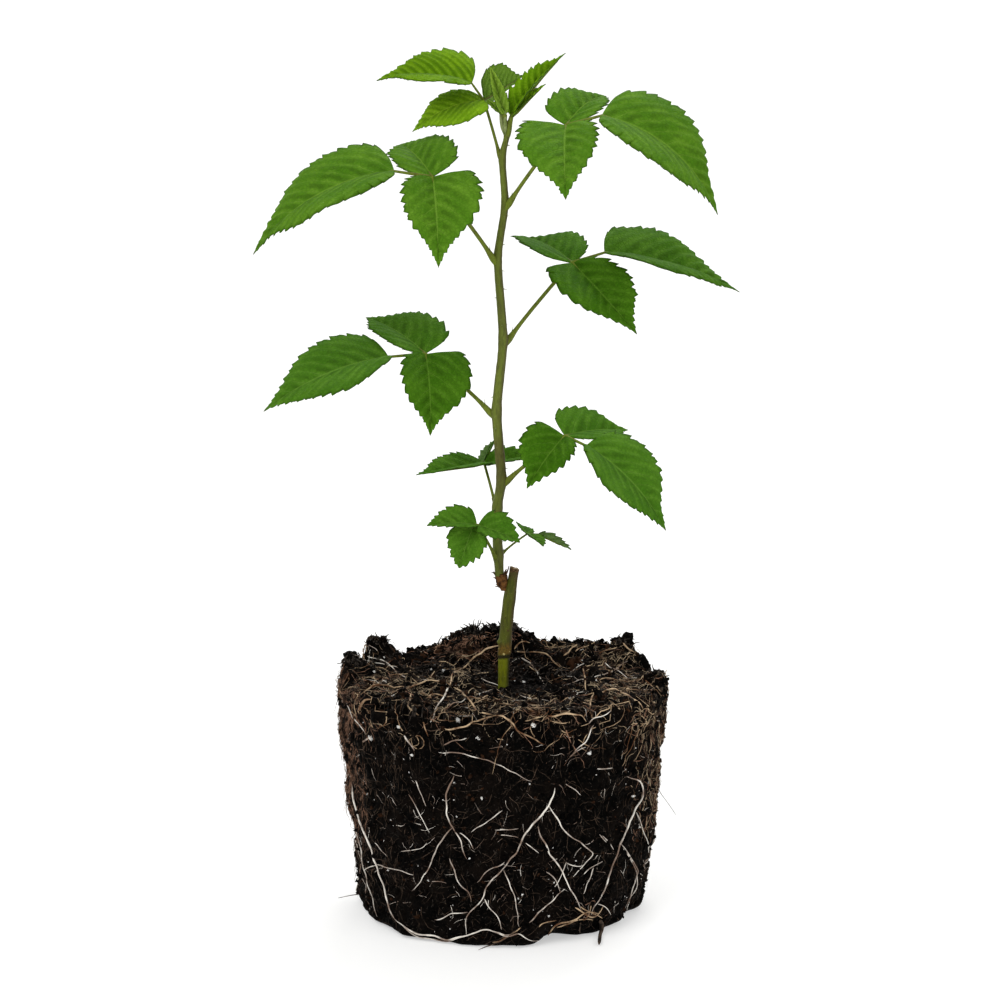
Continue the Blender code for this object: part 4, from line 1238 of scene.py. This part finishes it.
# Roots that the photo shows: a radius in millimetres, then the pixels that each runs through
WHITE_ROOTS = (
    (0.22, ((622, 848), (631, 862), (636, 872), (634, 889), (627, 899), (624, 909))),
    (0.20, ((602, 835), (609, 843), (613, 850))),
    (0.20, ((547, 871), (555, 879), (560, 890))),
    (0.20, ((594, 868), (588, 880), (583, 893))),
    (0.18, ((566, 862), (574, 866), (583, 864))),
    (0.42, ((354, 783), (356, 801), (364, 828), (372, 845), (376, 861), (381, 876), (387, 892), (392, 911), (400, 923))),
    (0.27, ((353, 817), (358, 833), (362, 847), (365, 865), (369, 883), (374, 901), (378, 915))),
    (0.23, ((377, 864), (394, 868), (415, 875))),
    (0.23, ((366, 869), (377, 865))),
    (0.32, ((455, 776), (449, 788), (447, 797), (448, 817), (454, 828), (458, 836), (462, 845), (467, 859))),
    (0.27, ((453, 827), (442, 840), (437, 847), (433, 858), (428, 869), (421, 881), (413, 890))),
    (0.21, ((459, 832), (469, 838), (474, 848))),
    (0.25, ((451, 858), (455, 870), (460, 883), (470, 892), (472, 901))),
    (0.27, ((504, 867), (496, 876), (485, 888), (483, 897), (474, 906), (468, 913), (466, 926), (467, 935))),
    (0.21, ((505, 863), (496, 867), (485, 872), (478, 881))),
    (0.23, ((485, 899), (492, 910), (501, 920), (501, 929))),
    (0.23, ((436, 919), (446, 916), (456, 912), (468, 912))),
    (0.34, ((397, 920), (406, 927), (417, 933), (431, 934), (449, 939), (460, 937), (468, 935), (476, 930),
            (487, 929), (496, 932), (511, 936), (518, 931), (524, 937), (544, 941))),
    (0.21, ((416, 779), (422, 794), (428, 806))),
    (0.19, ((410, 794), (419, 811), (430, 832))),
    (0.23, ((438, 752), (467, 754), (489, 760), (505, 768), (524, 778), (532, 780))),
    (0.21, ((501, 810), (490, 819), (472, 831))),
    (0.38, ((554, 788), (551, 797), (547, 807), (537, 818), (529, 829), (520, 842), (515, 855), (507, 864), (500, 871))),
    (0.27, ((548, 806), (556, 816), (560, 827), (568, 835), (576, 838), (585, 846), (594, 852), (580, 866), (572, 876))),
    (0.34, ((538, 827), (544, 844), (550, 855), (559, 866), (565, 877), (570, 890), (576, 899), (581, 909))),
    (0.40, ((626, 775), (642, 785), (637, 803), (630, 818), (620, 842), (611, 862), (608, 877), (600, 894), (589, 913))),
    (0.23, ((635, 813), (639, 823), (646, 840), (647, 853))),
    (0.25, ((620, 844), (628, 855), (637, 870), (633, 881), (628, 899), (625, 916))),
    (0.23, ((503, 870), (511, 886), (516, 903), (518, 927))),
    (0.27, ((529, 921), (537, 912), (550, 901), (563, 888))),
    (0.23, ((596, 768), (604, 769), (611, 768))),
    (0.21, ((565, 783), (572, 788), (579, 795))),
    (0.21, ((500, 828), (509, 829), (518, 828))),
    (0.21, ((526, 842), (539, 852))),
    (0.19, ((568, 756), (577, 751), (585, 746))),
    (0.23, ((352, 656), (366, 661), (380, 664), (393, 668), (400, 670))),
    (0.23, ((369, 657), (380, 661), (392, 667), (396, 673), (408, 679))),
    (0.40, ((447, 688), (445, 697), (440, 706), (436, 713), (432, 720))),
    (0.23, ((346, 691), (350, 704), (354, 718))),
    (0.23, ((357, 720), (363, 727), (368, 735))),
    (0.31, ((406, 736), (411, 742), (415, 749))),
    (0.36, ((364, 742), (368, 738), (373, 736))),
    (0.25, ((445, 745), (456, 740), (467, 737))),
    (0.21, ((483, 679), (489, 684), (498, 688))),
    (0.32, ((520, 660), (527, 663), (532, 668), (537, 673), (541, 680), (543, 686))),
    (0.23, ((587, 723), (596, 718), (606, 716), (609, 711))),
    (0.23, ((593, 724), (588, 733), (586, 740), (579, 747), (572, 753), (569, 756))),
    (0.23, ((606, 664), (612, 670), (619, 673), (624, 675), (627, 680))),
    (0.21, ((626, 662), (619, 668), (614, 672), (601, 678), (587, 680), (572, 683), (565, 687))),
    (0.21, ((585, 666), (578, 670), (572, 673))),
    (0.19, ((449, 707), (456, 706), (465, 700))),
    (0.21, ((404, 926), (416, 935), (430, 937), (446, 940), (458, 939), (470, 934))),
    (0.23, ((496, 932), (505, 934), (512, 934))),
    (0.15, ((403, 851), (420, 848), (427, 842))),
    (0.15, ((377, 843), (383, 850), (389, 857))),
    (0.17, ((432, 880), (447, 882))),
    (0.17, ((566, 861), (558, 880), (550, 891))),
    (0.19, ((583, 874), (592, 867), (602, 861))),
    (0.19, ((597, 903), (606, 906), (610, 915))),
    (0.17, ((598, 833), (605, 841), (609, 847))),
    (0.15, ((495, 829), (505, 829), (518, 828))),
    (0.19, ((500, 835), (510, 835), (519, 838))),
    (0.19, ((560, 705), (572, 698), (580, 693))),
    (0.17, ((520, 697), (530, 701), (541, 700), (552, 705))),
)
STRAY_ROOTS = (
    (0.24, ((363, 908), (352, 902), (343, 896), (335, 888))),
    (0.20, ((360, 894), (352, 895), (343, 897), (338, 898))),
    (0.14, ((657, 788), (661, 794), (668, 803), (676, 815))),
    (0.26, ((517, 929), (510, 935), (502, 940), (490, 945), (478, 950))),
    (0.20, ((508, 935), (500, 937), (490, 942), (484, 944))),
    (1.00, ((598, 917), (600, 924), (600, 932), (600, 938), (599, 944))),
    (0.26, ((580, 921), (579, 926), (580, 932))),
)
TAN_ROOTS = (
    (0.42, ((498, 646), (487, 650), (480, 655), (471, 660), (464, 668), (456, 673), (453, 682), (446, 689))),
    (0.26, ((422, 663), (431, 663), (440, 667), (447, 669), (456, 670), (463, 668))),
    (0.22, ((430, 680), (436, 670), (440, 664))),
    (0.40, ((364, 695), (369, 689), (377, 688), (390, 688), (402, 690), (413, 689), (424, 684), (438, 682), (453, 688))),
    (0.24, ((377, 687), (382, 680), (391, 676), (402, 677), (409, 680), (417, 684))),
    (0.55, ((362, 711), (363, 706), (368, 701), (373, 701))),
    (0.34, ((408, 695), (408, 704), (411, 711), (417, 713), (420, 718), (426, 726), (428, 735))),
    (0.42, ((456, 689), (465, 697), (473, 706), (478, 713), (487, 718), (498, 716))),
    (0.36, ((446, 729), (456, 728), (467, 727), (474, 725), (483, 721), (493, 718), (503, 716), (510, 720))),
    (0.34, ((514, 650), (516, 644), (522, 641), (527, 642), (529, 645))),
    (0.38, ((513, 652), (525, 653), (536, 653), (545, 657), (552, 658), (560, 666), (562, 670))),
    (0.34, ((563, 657), (572, 651), (579, 646), (588, 641))),
    (0.30, ((579, 653), (587, 648), (594, 644))),
    (0.30, ((601, 655), (608, 652), (615, 649))),
    (0.34, ((624, 644), (626, 650), (632, 653))),
    (0.30, ((582, 671), (586, 679), (588, 686), (587, 691))),
    (0.34, ((594, 696), (590, 706), (587, 713), (583, 720))),
    (0.48, ((590, 697), (601, 696), (612, 691), (623, 695), (630, 700), (641, 708))),
    (0.44, ((505, 707), (514, 706), (523, 707), (531, 715), (541, 717), (552, 715), (561, 713), (572, 715), (579, 718),
            (584, 720))),
    (0.34, ((500, 716), (507, 718), (513, 725), (520, 733), (531, 736), (538, 742), (543, 745))),
    (0.32, ((547, 934), (551, 927), (556, 922), (564, 920), (573, 921), (580, 915), (588, 911), (598, 913))),
    (0.26, ((556, 925), (566, 922), (577, 919), (585, 917), (592, 919))),
    (0.28, ((574, 907), (583, 912), (591, 916), (600, 911), (603, 904))),
    (0.24, ((580, 905), (586, 911), (593, 913), (602, 917))),
    (0.22, ((590, 905), (588, 913), (582, 919))),
    (0.22, ((538, 926), (546, 921), (556, 920))),
    (0.26, ((520, 927), (511, 934), (502, 939), (494, 942))),
    (0.30, ((430, 700), (437, 694), (444, 700), (451, 697))),
    (0.28, ((468, 698), (480, 701), (490, 697), (499, 701))),
    (0.26, ((375, 700), (385, 706), (392, 703))),
    (0.26, ((600, 682), (610, 679), (622, 683), (634, 681))),
    (0.30, ((645, 676), (650, 684), (655, 690))),
)
GRAINS = ((484, 637), (476, 628), (374, 637), (371, 738), (412, 755), (470, 792), (482, 798), (478, 738), (458, 720),
          (595, 683), (533, 724), (524, 682), (589, 753), (606, 732), (545, 640), (399, 727))
LEFT_MAT = Patch(402, 689, 26, 4)
RIGHT_MAT = Patch(618, 688, 18, 8)
MIDDLE_MAT = Patch(505, 706, 40, 6)
JOINT_MAT = Patch(455, 678, 8, 8)
RIGHT_HEAP = Patch(608, 654, 18, 6)
LOW_TANGLE = Patch(589, 912, 5, 3)
RED_PATCH = Patch(472, 650, 22, 7)
CRESTS = (Patch(377, 636, 8, 3), Patch(470, 630, 12, 3), Patch(492, 625, 8, 3), Patch(522, 628, 8, 4),
          Patch(580, 640, 16, 3), Patch(628, 636, 9, 4), Patch(350, 660, 5, 4), Patch(662, 668, 6, 3))


def curve_through(places, step):
    """Points on a smooth curve through places of the photo, about a step apart."""
    path = []
    for i in range(len(places) - 1):
        before = places[max(0, i - 1)]
        after = places[min(len(places) - 1, i + 2)]
        parts = max(2, round(math.dist(places[i], places[i + 1]) / step))
        for k in range(parts):
            share = k / parts
            spot = []
            for a, b, c, d in zip(before, places[i], places[i + 1], after):
                bend = 2 * b + (c - a) * share + (2 * a - 5 * b + 4 * c - d) * share ** 2
                spot.append(0.5 * (bend + (3 * b - a - 3 * c + d) * share ** 3))
            path.append(spot)
    path.append(places[-1])
    return path


def lay_root(skin, radius, places, stray=False):
    """One root of the photo, on the skin behind its pixels; a stray one goes on beside the ball, or along the floor."""
    eye = Vector(CAMERA_PLACE)
    points = []
    for x, y in curve_through(places, 2.6):
        shake = 1.3 * noise.noise(Vector((x * 0.11, y * 0.11, 3.0)))
        hit = skin.seen(x + shake, y + shake)[0]
        if hit is not None and hit.y < 0.058:
            points.append(hit)
        elif stray and points:
            way = skin.ray(x, y)
            place = eye + way * ((points[-1].y - eye.y) / way.y)
            points.append(place if place.z > radius else eye + way * ((radius - eye.z) / way.z))
    for number in range(4):
        middles = [(points[i - 1] + points[i] * 2.0 + points[i + 1]) * 0.25 for i in range(1, len(points) - 1)]
        points[1:-1] = middles
    laid = []
    for point in points:
        near, normal = skin.tree.find_nearest(point)[:2]
        away = (point - near).dot(normal)
        proud = radius + (0.0010 if point.z > BALL_RIM_HEIGHT - 0.004 else 0.0005)
        laid.append(near + normal * proud if away < proud else point)
    for number in range(2):
        laid[1:-1] = [(laid[i - 1] + laid[i] * 2.0 + laid[i + 1]) * 0.25 for i in range(1, len(laid) - 1)]
    count = len(laid)
    thick = []
    for i in range(count):
        share = (i + 0.5) / count
        uneven = 1.0 + 0.30 * noise.noise(Vector((i * 0.4, 0.0, radius * 9000.0)))
        thick.append(radius * uneven * mix(1.0, 0.62, share) * mix(0.3, 1.0, smooth_step(0.0, 0.14, min(share, 1.0 - share))))
    return laid, thick


def make_front_roots(skin, white, tan, dark):
    """The roots that the photo shows, and others like them round the back."""
    luck = random.Random(12)
    tans = threads_mesh("tan_roots", [lay_root(skin, radius * 0.001, places) for radius, places in TAN_ROOTS], 6)
    stand_for(tans, "root_ball", "potting_mix", tan)
    strays = threads_mesh("stray_roots", [lay_root(skin, radius * 0.001, places, True) for radius, places in STRAY_ROOTS], 6)
    stand_for(strays, "root_ball", "potting_mix", dark)
    threads = [lay_root(skin, radius * 0.001, places) for radius, places in WHITE_ROOTS]
    for number in range(26):
        heading = luck.uniform(-10.0, 190.0)
        height = luck.uniform(0.028, 0.066)
        lean = luck.gauss(0.0, 0.8)
        radius = luck.uniform(0.00022, 0.00042)
        points = []
        while height > 0.003 and len(points) < 60:
            point, out = skin.side(heading, height)
            points.append(skin.settle(point, radius * 0.5))
            lean = lean * 0.88 + luck.gauss(0.0, 0.28)
            heading += lean * 0.9
            height -= 0.0012
            if len(points) in (12, 24) and luck.random() < 0.7:
                branch = []
                way = luck.choice((-1.0, 1.0)) * luck.uniform(0.8, 1.8)
                turn, level = heading, height
                for k in range(luck.randint(8, 16)):
                    branch.append(skin.settle(skin.side(turn, level)[0], radius * 0.3))
                    way += luck.gauss(0.0, 0.2)
                    turn += way
                    level -= luck.uniform(0.0002, 0.0011)
                    if level < 0.003:
                        break
                if len(branch) > 3:
                    threads.append((branch, [radius * mix(0.7, 0.35, k / len(branch)) for k in range(len(branch))]))
        if len(points) > 5:
            threads.append((points, [radius * mix(1.0, 0.6, i / len(points)) for i in range(len(points))]))
    roots = threads_mesh("roots", threads, 6)
    return stand_for(roots, "root_ball", "potting_mix", white)


def make_perlite(skin, finish):
    """White grains in the mix: the ones that the photo shows, and chance ones all round."""
    shown = tuple(Patch(x, y, 0.3, 0.3) for x, y in GRAINS)
    make_crumbs("perlite_shown", skin, finish, 26, shown, 0.0006, 0.0009, 2, 76)
    make_crumbs("perlite", skin, finish, 150, (0.004, 0.084), 0.0003, 0.00060, 2, 77)
    make_crumbs("perlite_top", skin, finish, 60, "top", 0.0003, 0.0007, 2, 78)


# Stage

def make_stage():
    """Pale floor that curves up into a backdrop, soft light and the camera."""
    def place(across, along):
        reach = along * 5.0
        bend = 2.2
        if reach < bend:
            return Vector(((across - 0.5) * 6.0, reach - 1.2, 0.0))
        turn = min(math.pi / 2, (reach - bend) / 0.8)
        rise = max(0.0, reach - bend - 0.8 * math.pi / 2)
        return Vector(((across - 0.5) * 6.0, bend - 1.2 + 0.8 * math.sin(turn), 0.8 * (1 - math.cos(turn)) + rise))

    floor = formed_grid("floor", 2, 120, place)
    material, start, shader = new_material("floor")
    shader.inputs["Base Color"].default_value = (0.62, 0.62, 0.61, 1.0)
    shader.inputs["Roughness"].default_value = 0.9
    shader.inputs["Emission Color"].default_value = (1.0, 1.0, 1.0, 1.0)
    shader.inputs["Emission Strength"].default_value = 0.42
    floor.data.materials.append(material)

    world = bpy.data.worlds.new("studio")
    bpy.context.scene.world = world
    world.use_nodes = True
    world.node_tree.nodes["Background"].inputs[0].default_value = (1.0, 1.0, 1.0, 1.0)
    world.node_tree.nodes["Background"].inputs[1].default_value = 0.72

    for name, place, size, power in (
            ("key", (-0.7, -1.1, 1.3), 0.9, 12.5),
            ("fill", (1.0, -0.9, 0.8), 1.0, 4.0),
            ("back", (0.3, 1.0, 1.2), 0.8, 9.0)):
        light = bpy.data.lights.new(name, "AREA")
        light.energy = power
        light.size = size
        lamp = bpy.data.objects.new(name, light)
        bpy.context.scene.collection.objects.link(lamp)
        lamp.location = place
        lamp.rotation_euler = (Vector((0, 0, 0.15)) - Vector(place)).to_track_quat("-Z", "Y").to_euler()

    camera = bpy.data.cameras.new("camera")
    camera.sensor_width = CAMERA_SENSOR
    camera.lens = CAMERA_LENS
    camera.clip_start = 0.01
    holder = bpy.data.objects.new("camera", camera)
    bpy.context.scene.collection.objects.link(holder)
    holder.location = CAMERA_PLACE
    holder.rotation_euler = (math.radians(CAMERA_TILT), 0.0, 0.0)
    bpy.context.scene.camera = holder


def main():
    bpy.context.scene.view_settings.view_transform = "Standard"
    make_stage()
    # for old_bark the last colour is both the real dark of its ring and node specks and the painted shadow on its
    # foot's right side
    old_bark = old_bark_finish("old_bark", (0.078, 0.092, 0.007), (0.062, 0.043, 0.014), (0.170, 0.085, 0.014),
                               (0.136, 0.152, 0.002), (0.018, 0.014, 0.004))
    # the number after the browns of new_bark and stalk is the strength of the painted shade down their right side
    new_bark = bark_finish("new_bark", (0.118, 0.150, 0.017), (0.068, 0.054, 0.016), 0.80, (0.22, 0.24, 0.09), 0.160, 0.178)
    stalk = bark_finish("stalk", (0.130, 0.175, 0.012), (0.100, 0.098, 0.014), 0.4, (0.24, 0.25, 0.09))
    knuckle = plain_finish("knuckle", (0.036, 0.014, 0.004), (0.165, 0.070, 0.018), 0.75, 500.0)
    scale_brown = plain_finish("bud_scales", (0.030, 0.014, 0.008), (0.120, 0.060, 0.030), 0.7, 900.0)
    cut_rim = plain_finish("cut_rim", (0.020, 0.012, 0.006), (0.140, 0.080, 0.036), 0.8, 1100.0)
    cut_wood = plain_finish("cut_wood", (0.190, 0.120, 0.065), (0.480, 0.360, 0.230), 0.8, 1300.0)
    cream = plain_finish("cream", (0.150, 0.110, 0.030), (0.380, 0.310, 0.120), 0.7, 900.0)
    pale_green = plain_finish("pale_green", (0.150, 0.190, 0.055), (0.240, 0.280, 0.110), 0.6, 500.0)
    leaf_top = leaf_finish("leaf_top", (0.048, 0.141, 0.008), (0.081, 0.199, 0.014), (0.135, 0.272, 0.036), 0.62)
    # a darker copy of leaf_top for the leaflets that head to the front: painted shade
    leaf_top_painted_shade = leaf_finish("leaf_top_painted_shade", (0.038, 0.117, 0.004), (0.063, 0.164, 0.008), (0.116, 0.240, 0.024), 0.64)
    fresh_top = leaf_finish("fresh_top", (0.058, 0.160, 0.007), (0.100, 0.226, 0.014), (0.165, 0.310, 0.034), 0.64)
    leaf_under = leaf_finish("leaf_under", (0.100, 0.190, 0.045), (0.130, 0.225, 0.060), (0.190, 0.290, 0.090), 0.5, True)
    young_top = leaf_finish("young_top", (0.086, 0.200, 0.003), (0.148, 0.295, 0.005), (0.225, 0.385, 0.018), 0.90, even=1.0)
    # a brighter copy of young_top for the young leaflets that head to the front: painted light where they lie in shade
    young_top_painted_light = leaf_finish("young_top_painted_light", (0.125, 0.262, 0.006), (0.200, 0.372, 0.012), (0.280, 0.450, 0.030), 0.75, even=1.0)
    young_under = leaf_finish("young_under", (0.100, 0.215, 0.015), (0.150, 0.280, 0.025), (0.220, 0.360, 0.060), 0.8, True, 1.0)
    leaf_rim = plain_finish("leaf_rim", (0.022, 0.060, 0.003), (0.040, 0.090, 0.006), 0.7)
    soil = soil_finish("potting_mix", (0.0010, 0.0009, 0.0008), (0.0056, 0.0038, 0.0028), (0.024, 0.017, 0.012))
    brown_mix = soil_finish("brown_mix", (0.010, 0.0050, 0.0028), (0.045, 0.019, 0.009), (0.100, 0.050, 0.026))
    chip = plain_finish("chips", (0.002, 0.0015, 0.0012), (0.048, 0.038, 0.030), 0.85, 700.0)
    fibre = plain_finish("brown_fibre", (0.008, 0.006, 0.004), (0.085, 0.056, 0.038), 0.85)
    mat_fibre = plain_finish("mat_fibre", (0.050, 0.026, 0.012), (0.560, 0.430, 0.280), 0.80, 330.0)
    rusty_fibre = plain_finish("rusty_fibre", (0.016, 0.007, 0.004), (0.300, 0.165, 0.105), 0.85, 300.0)
    tan_root = plain_finish("tan_root", (0.110, 0.048, 0.020), (0.540, 0.390, 0.240), 0.7, 160.0)
    pale_root = plain_finish("pale_root", (0.200, 0.135, 0.100), (0.780, 0.730, 0.650), 0.6, 130.0)
    stray_root = plain_finish("stray_root", (0.010, 0.007, 0.005), (0.090, 0.062, 0.043), 0.8, 200.0)
    perlite = plain_finish("perlite", (0.50, 0.49, 0.46), (0.80, 0.79, 0.76), 0.8)

    make_old_cane(old_bark, cut_rim, cut_wood, knuckle, scale_brown, cream)
    make_new_cane(new_bark, pale_green)
    bud_top = leaf_finish("bud_top", (0.130, 0.240, 0.017), (0.205, 0.335, 0.034), (0.290, 0.420, 0.080), 0.75, even=1.0)
    for name, leaf in LEAVES.items():
        if leaf.node > 0.27:
            top = bud_top if name == "leaf_bud" else young_top
            make_leaf(name, leaf, YOUNG_PLEAT, top, bud_top if top is bud_top else young_top_painted_light, young_under, leaf_rim, stalk, "young_leaf")
        elif leaf.node > 0.23:
            make_leaf(name, leaf, PLEAT, fresh_top, fresh_top, leaf_under, leaf_rim, stalk, "leaf")
        elif leaf.node > 0.155:
            make_leaf(name, leaf, PLEAT, leaf_top, leaf_top_painted_shade, leaf_under, leaf_rim, stalk, "leaf")
        else:
            make_leaf(name, leaf, PLEAT, leaf_top, leaf_top, leaf_under, leaf_rim, stalk, "leaf")

    ball = formed_grid("root_ball_mix", 400, 240, ball_place, closed_round=True)
    stand_for(ball, "root_ball", "potting_mix", soil)
    skin = Skin(ball)
    whole = (0.002, 0.086)
    mats = (LEFT_MAT, LEFT_MAT, RIGHT_MAT, RIGHT_MAT, MIDDLE_MAT, MIDDLE_MAT, JOINT_MAT, RIGHT_HEAP)
    left_edge = (164.0, 214.0)
    left_side = (150.0, 236.0)
    right_edge = (-46.0, 30.0)
    make_crumbs("crumbs", skin, soil, 3600, whole, 0.0004, 0.0015, 1, 1)
    make_crumbs("clods", skin, soil, 800, "top", 0.0006, 0.0023, 2, 2)
    make_crumbs("rim_clods", skin, soil, 350, "rim", 0.0005, 0.0018, 2, 3)
    make_crumbs("crest_crumbs", skin, soil, 700, CRESTS, 0.0003, 0.0012, 2, 6)
    make_crumbs("red_crumbs", skin, brown_mix, 90, (RED_PATCH,), 0.0004, 0.0016, 2, 7)
    make_crumbs("foot_crumbs", skin, soil, 60, (Patch(503, 691, 6, 1.5),), 0.0005, 0.0012, 2, 8)
    make_crumbs("brown_clods", skin, brown_mix, 380, "top", 0.0006, 0.0022, 2, 4)
    make_crumbs("brown_crumbs", skin, brown_mix, 600, whole, 0.0004, 0.0012, 1, 5)
    for kind in (
            Fibres("chips", chip, 4300, whole, 0.0022, 0.00020, 1.0, 0.2, 0.3, 2, 11),
            Fibres("chips_top", chip, 1700, "top", 0.0028, 0.00024, 1.0, 0.2, 0.6, 2, 12),
            Fibres("side_fibres", fibre, 1500, whole, 0.0120, 0.00015, 2.4, 0.22, 0.15, 5, 13),
            Fibres("top_fibres", fibre, 1000, "top", 0.0085, 0.00018, 1.0, 0.30, 0.40, 5, 14),
            Fibres("mat_fibres", mat_fibre, 430, mats, 0.0100, 0.00018, 1.0, 0.25, 0.30, 7, 22),
            Fibres("rim_mat", mat_fibre, 280, "rim", 0.0120, 0.00018, 0.7, 0.25, 0.30, 7, 23),
            Fibres("red_fibres", rusty_fibre, 260, (RED_PATCH,), 0.0042, 0.00030, 1.0, 0.25, 0.40, 4, 28),
            Fibres("left_fibres", rusty_fibre, 500, (0.036, 0.086), 0.0150, 0.00020, 7.0, 0.07, 0.20, 7, 24, left_edge),
            Fibres("left_brown", fibre, 420, (0.020, 0.086), 0.0150, 0.00018, 7.0, 0.07, 0.20, 7, 31, left_side),
            Fibres("right_fibres", mat_fibre, 230, (0.040, 0.086), 0.0120, 0.00018, 6.0, 0.09, 0.15, 7, 25, right_edge),
            Fibres("right_rust", rusty_fibre, 360, (0.034, 0.086), 0.0130, 0.00018, 6.0, 0.09, 0.15, 7, 30, right_edge),
            Fibres("back_fibres", rusty_fibre, 900, (0.020, 0.086), 0.0140, 0.00016, 4.0, 0.12, 0.15, 6, 26, (30.0, 165.0)),
            Fibres("rim_roots", tan_root, 205, "rim", 0.0250, 0.00028, 0.8, 0.19, 0.14, 12, 15),
            Fibres("rim_rust", rusty_fibre, 260, "rim", 0.0180, 0.00026, 0.8, 0.20, 0.2, 9, 32),
            Fibres("rim_fibres", fibre, 450, "rim", 0.0130, 0.00022, 1.0, 0.20, 0.30, 6, 20),
            Fibres("top_roots", tan_root, 110, "top", 0.0200, 0.00030, 1.0, 0.14, 0.14, 9, 16),
            Fibres("low_tangle", rusty_fibre, 5, (LOW_TANGLE,), 0.0110, 0.00022, 0.35, 0.32, 0.1, 12, 27),
            Fibres("short_roots", pale_root, 460, (0.008, 0.080), 0.0065, 0.00017, 1.0, 0.10, 0.05, 4, 17),
            Fibres("top_pale_roots", pale_root, 130, "top", 0.0100, 0.00022, 1.0, 0.13, 0.2, 6, 18),
            Fibres("spikes", chip, 1000, "top", 0.0024, 0.00050, 1.0, 0.3, 1.4, 3, 21),
            Fibres("crest_spikes", chip, 330, CRESTS, 0.0024, 0.00058, 1.0, 0.3, 1.4, 3, 29),
            Fibres("hairs", fibre, 40, "rim", 0.0045, 0.00011, 1.0, 0.2, 0.7, 4, 19)):
        make_fibres(skin, kind)
    make_front_roots(skin, pale_root, tan_root, stray_root)
    make_perlite(skin, perlite)


main()
